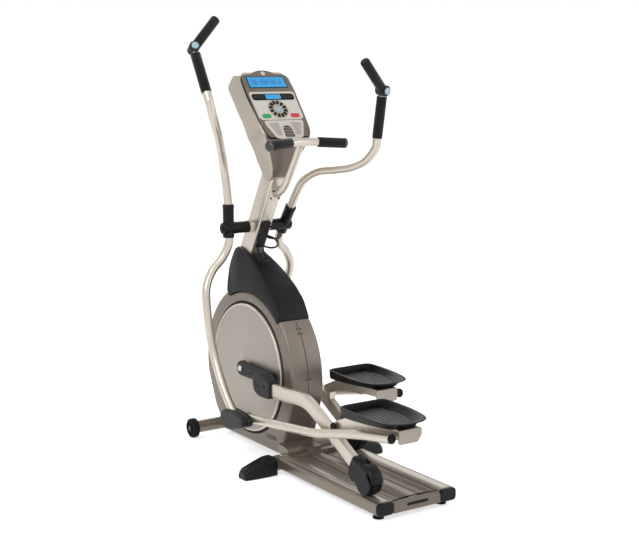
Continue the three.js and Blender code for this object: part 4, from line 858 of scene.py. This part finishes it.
# ---- bottle cage
CAGE = 92    # up the mast from its foot
WIRE_RADIUS = 3.6
cage_plate = plate(soft_rect(-19, 19, CAGE, CAGE + 120, 8, 4), (40.3, 48), "y")
wires = []
for along in (CAGE + 55, CAGE + 98):
    centre = Vector((0, 84.8, along))
    hoop = [centre + Vector((u, v, 0)) for v, u in arc(0, 0, 40.5, -160, 160, 24)]
    wires.append(tube(hoop, WIRE_RADIUS, 14, 2))
for x in (-1, 1):
    wires.append(tube([(x * 10, 44.3, CAGE + 8), (x * 12, 70.3, CAGE - 14), (x * 10, 102.3, CAGE - 12),
                       (0, 116.3, CAGE + 2)], WIRE_RADIUS, 14, 8))
piece("cage_plate", cage_plate, black, "base", MAST_FRAME, bevel=2)
piece("cage_wires", merge(*wires), black, "base", MAST_FRAME, ["bottle_cage"])

# ---- console
SIDE_VIEW = eased([(938, 1452), (750, 1225), (758, 1178), (792, 1082), (822, 1046), (868, 1052), (886, 1110),
                   (883, 1180), (898, 1254), (1026, 1392), (984, 1444)], 16, 5)
HALF_WIDTH = [(1030, 38), (1060, 42), (1100, 52), (1150, 72), (1205, 98), (1250, 110), (1300, 110),
              (1390, 104), (1436, 99), (1447, 86), (1452, 52), (1468, 26), (1472, 4)]
CROWN = 1424         # above this height the width changes fast, so the levels are close
LEVEL_STEPS = 56
FACES_USER = -0.75   # a face whose normal has a smaller y is part of the dark front


def half_width(z):
    for (z0, w0), (z1, w1) in zip(HALF_WIDTH, HALF_WIDTH[1:]):
        if z <= z1:
            return w0 + (w1 - w0) * (z - z0) / (z1 - z0)
    return HALF_WIDTH[-1][1]


def side_span(z):
    """The rear and front of the console at that height."""
    hits = []
    count = len(SIDE_VIEW)
    for i in range(count):
        (y0, z0), (y1, z1) = SIDE_VIEW[i], SIDE_VIEW[(i + 1) % count]
        if (z0 - z) * (z1 - z) <= 0 and abs(z1 - z0) > 1e-6:
            hits.append(y0 + (y1 - y0) * (z - z0) / (z1 - z0))
    return min(hits), max(hits)


bottom = min(z for _, z in SIDE_VIEW)
top = max(z for _, z in SIDE_VIEW)
levels = [bottom + 0.6 + (CROWN - bottom) * k / LEVEL_STEPS for k in range(LEVEL_STEPS + 1)]
levels += [CROWN + 1.2 + k for k in range(int(top - CROWN - 1.4))]
rings = []
for z in levels:
    rear, front = side_span(z)
    half = half_width(z)
    depth = (front - rear) / 2
    corner = min(13, depth * 0.6, half * 0.6)
    outline = soft_rect(-half, half, rear, front, corner, 5)
    rings.append([(x, y, z) for x, y in outline])
casing = piece("console_body", lofted(rings), console_silver, "base", STAY, ["console_front", "console_back"],
               crease=60)
casing.data.materials.append(bezel_taupe)
for polygon in casing.data.polygons:
    polygon.material_index = 1 if polygon.normal.y < FACES_USER else 0


def on_face(name, outline, depths, finish, body="base", stands_for=(), bevel=0.8, segments=2):
    """A plate that lies on the console's front, with u up the face and depths out of it."""
    return piece(name, plate(outline, depths, "z"), finish, body, FACE_FRAME, stands_for, bevel, segments)


def mirrored(points):
    return points + [(-x, u) for x, u in reversed(points)]


bezel = eased(mirrored([(84, -12), (103, 60), (106, 200), (102, 262), (92, 276), (50, 279), (38, 291),
                        (12, 297)]), 9, 4)
dark_line = eased(mirrored([(86, -14), (105.4, 60), (108.2, 200), (104, 264), (93, 278), (50, 281), (38, 293),
                            (12, 299)]), 9, 4)
on_face("bezel_seam", dark_line, (-7, 0.5), soft_black, bevel=0.3)
on_face("console_bezel", bezel, (-6, 1.2), bezel_taupe, bevel=1.2, segments=3)
on_face("window_frame", soft_rect(-89, 89, 209, 274, 7, 4), (0, 2.2), bezel_taupe)
on_face("window_edge", soft_rect(-84, 84, 214, 269, 5, 4), (0, 2.8), soft_black)
on_face("lcd", soft_rect(-80, 80, 218, 266, 4, 3), (0, 3.2), screen,
        stands_for=["display_window"], bevel=0.4)
DIGIT_GROUPS = ((-66, 2), (-28, 3), (18, 2), (52, 1))    # start and number of the blank digits
strokes = []
for start, count in DIGIT_GROUPS:
    for k in range(count):
        x = start + 12.5 * k
        strokes += [rect(x + 1, x + 8, u, u + 1.8) for u in (231, 241.2, 251.4)]
        strokes += [rect(x + u, x + u + 1.6, 232, 252.4) for u in (0, 7.6)]
digits = merge(*(plate(outline, (3.1, 3.35), "z") for outline in strokes))
piece("lcd_segments", digits, segment, "base", FACE_FRAME)
on_face("badge_disc", ring(0, 284, 9, 32), (0, 2.4), panel_silver)

key_panel = eased(mirrored([(86, 66), (97, 78), (99, 190), (94, 197)]), 6, 4)
on_face("key_panel", key_panel, (0, 2.0), panel_silver)
on_face("pill_strip", soft_rect(-92, 92, 157, 187, 13, 6), (0, 3.0), soft_black)
on_face("pill_display", soft_rect(-33, 33, 161, 183, 3, 3), (0, 3.4), screen, bevel=0.4)
pill_keys = [plate(soft_rect(x - 9, x + 9, 165, 179, 4, 3), (2.8, 3.8), "z")
             for x in (-74, -50, 50, 74)]
piece("pill_keys", merge(*pill_keys), grey, "base", FACE_FRAME, bevel=0.5)
on_face("dial_plate", ring(0, 115, 43, 56), (0, 2.6), console_silver)
DIAL_KEYS = 12
keys = []
for k in range(DIAL_KEYS):
    a = 2 * math.pi * (k + 0.5) / DIAL_KEYS
    spot = Vector((30 * math.cos(a), 115 + 30 * math.sin(a)))
    out = Vector((math.cos(a), math.sin(a)))
    wide = Vector((-out.y, out.x))
    corners = [spot + out * u + wide * v for u, v in ((-8, -4.4), (-8, 4.4), (8, 6.4), (8, -6.4))]
    keys.append(plate(eased(corners, 3, 3), (2.4, 4.6), "z"))
piece("dial_keys", merge(*keys), black, "base", FACE_FRAME, bevel=0.8)
on_face("dial_centre", ring(0, 112, 12, 40), (-3, 4.4), button_blue, "enter_key_body", ["enter_key"], 1.6, 3)
for name, x, finish, node in (("start", -62, green, "start_key"), ("stop", 62, red, "stop_key")):
    oval = arc(x + 10, 84, 9.5, -90, 90, 16) + arc(x - 10, 84, 9.5, 90, 270, 16)
    on_face(f"{name}_pad", oval, (-3, 3.6), finish, f"{name}_key_body", [node], 1.2, 3)

lower = eased(mirrored([(40, -22), (58, -16), (82, 44), (84, 56), (78, 62)]), 7, 4)
on_face("lower_panel", lower, (0, 5.0), panel_silver, bevel=2, segments=3)
for sign in (-1, 1):
    recess = eased([(sign * 30, -8), (sign * 50, -8), (sign * 72, 48), (sign * 27, 52)], 6, 4)
    on_face(f"panel_recess_{'left' if sign < 0 else 'right'}", recess, (0, 5.5), console_silver)
fan_hood = eased([(-31, -20), (31, -20), (25, 26), (16, 41), (-16, 41), (-25, 26)], 8, 4)
on_face("fan_hood", fan_hood, (0, 7.4), panel_silver, bevel=1.6, segments=3)
fan = eased([(-21, -17), (21, -17), (18, 24), (10, 34), (-10, 34), (-18, 24)], 6, 4)
on_face("fan_mouth", fan, (0, 8.0), soft_black)
slats = [plate([(-18, u), (18, u), (17.5, u + 2.6), (-17.5, u + 2.6)], (7.6, 9.4), "z")
         for u in range(-12, 30, 7)]
piece("fan_slats", merge(*slats), console_silver, "base", FACE_FRAME, bevel=0.5)

# ---- floor, light and camera
FLOOR_HALF = 40
FLOOR_GLOW = 0.62
ROOM_LIGHT = 0.5


def background_ray(tree):
    """1 for a ray that should see a white background: from the camera, off gloss or through glass."""
    rays = tree.nodes.new("ShaderNodeLightPath")
    found = rays.outputs["Is Camera Ray"]
    for kind in ("Is Glossy Ray", "Is Transmission Ray"):
        larger = tree.nodes.new("ShaderNodeMath")
        larger.operation = "MAXIMUM"
        tree.links.new(found, larger.inputs[0])
        tree.links.new(rays.outputs[kind], larger.inputs[1])
        found = larger.outputs[0]
    return found


floor_mesh = bpy.data.meshes.new("floor")
floor_mesh.from_pydata([(x, y, 0) for x, y in rect(-FLOOR_HALF, FLOOR_HALF, -FLOOR_HALF, FLOOR_HALF)], [],
                       [(0, 1, 2, 3)])
floor = bpy.data.objects.new("floor", floor_mesh)
bpy.context.scene.collection.objects.link(floor)
floor.location.z = -0.0005
floor_finish = bpy.data.materials.new("floor_finish")
floor_finish.use_nodes = True
tree = floor_finish.node_tree
matt = tree.nodes["Principled BSDF"]
matt.inputs["Base Color"].default_value = (0.9, 0.9, 0.9, 1)
matt.inputs["Roughness"].default_value = 0.9
glow = tree.nodes.new("ShaderNodeEmission")
glow.inputs["Color"].default_value = (1, 1, 1, 1)
glow.inputs["Strength"].default_value = FLOOR_GLOW
both = tree.nodes.new("ShaderNodeAddShader")
mix = tree.nodes.new("ShaderNodeMixShader")
tree.links.new(matt.outputs["BSDF"], both.inputs[0])
tree.links.new(glow.outputs["Emission"], both.inputs[1])
tree.links.new(background_ray(tree), mix.inputs["Fac"])
tree.links.new(matt.outputs["BSDF"], mix.inputs[1])
tree.links.new(both.outputs["Shader"], mix.inputs[2])
tree.links.new(mix.outputs["Shader"], tree.nodes["Material Output"].inputs["Surface"])
floor_mesh.materials.append(floor_finish)

world = bpy.data.worlds.new("studio")
bpy.context.scene.world = world
world.use_nodes = True
tree = world.node_tree
level = tree.nodes.new("ShaderNodeMapRange")
level.inputs["To Min"].default_value = ROOM_LIGHT
level.inputs["To Max"].default_value = 1.0
tree.links.new(background_ray(tree), level.inputs["Value"])
tree.links.new(level.outputs["Result"], tree.nodes["Background"].inputs["Strength"])
tree.nodes["Background"].inputs["Color"].default_value = (1, 1, 1, 1)


def lamp(name, place, aim, power, size):
    light = bpy.data.lights.new(name, "AREA")
    light.energy = power
    light.size = size
    made = bpy.data.objects.new(name, light)
    bpy.context.scene.collection.objects.link(made)
    made.location = place
    made.rotation_euler = (Vector(aim) - Vector(place)).to_track_quat("-Z", "Y").to_euler()


lamp("key", (-2.6, -1.6, 3.2), (0, 0, 0.7), 55, 1.8)
lamp("fill", (2.8, -2.4, 2.0), (0, 0, 0.7), 22, 2.2)
lamp("rim", (0.6, 3.0, 2.8), (0, 0, 0.9), 30, 1.6)

# Solved from the photo with the lens at a standing height.
CAMERA_PLACE = (-2.5809, -3.2968 - ORIGIN_Y / 1000, 1.5)
CAMERA_YAW = math.radians(33.885)
CAMERA_TILT = math.radians(9.156)
LENS = 73.0
camera_data = bpy.data.cameras.new("camera")
camera_data.lens = LENS
camera_data.sensor_width = 36
camera = bpy.data.objects.new("camera", camera_data)
bpy.context.scene.collection.objects.link(camera)
camera.location = CAMERA_PLACE
look = Vector((math.sin(CAMERA_YAW) * math.cos(CAMERA_TILT), math.cos(CAMERA_YAW) * math.cos(CAMERA_TILT),
               -math.sin(CAMERA_TILT)))
camera.rotation_euler = look.to_track_quat("-Z", "Y").to_euler()
bpy.context.scene.camera = camera
bpy.context.scene.view_settings.view_transform = "Standard"
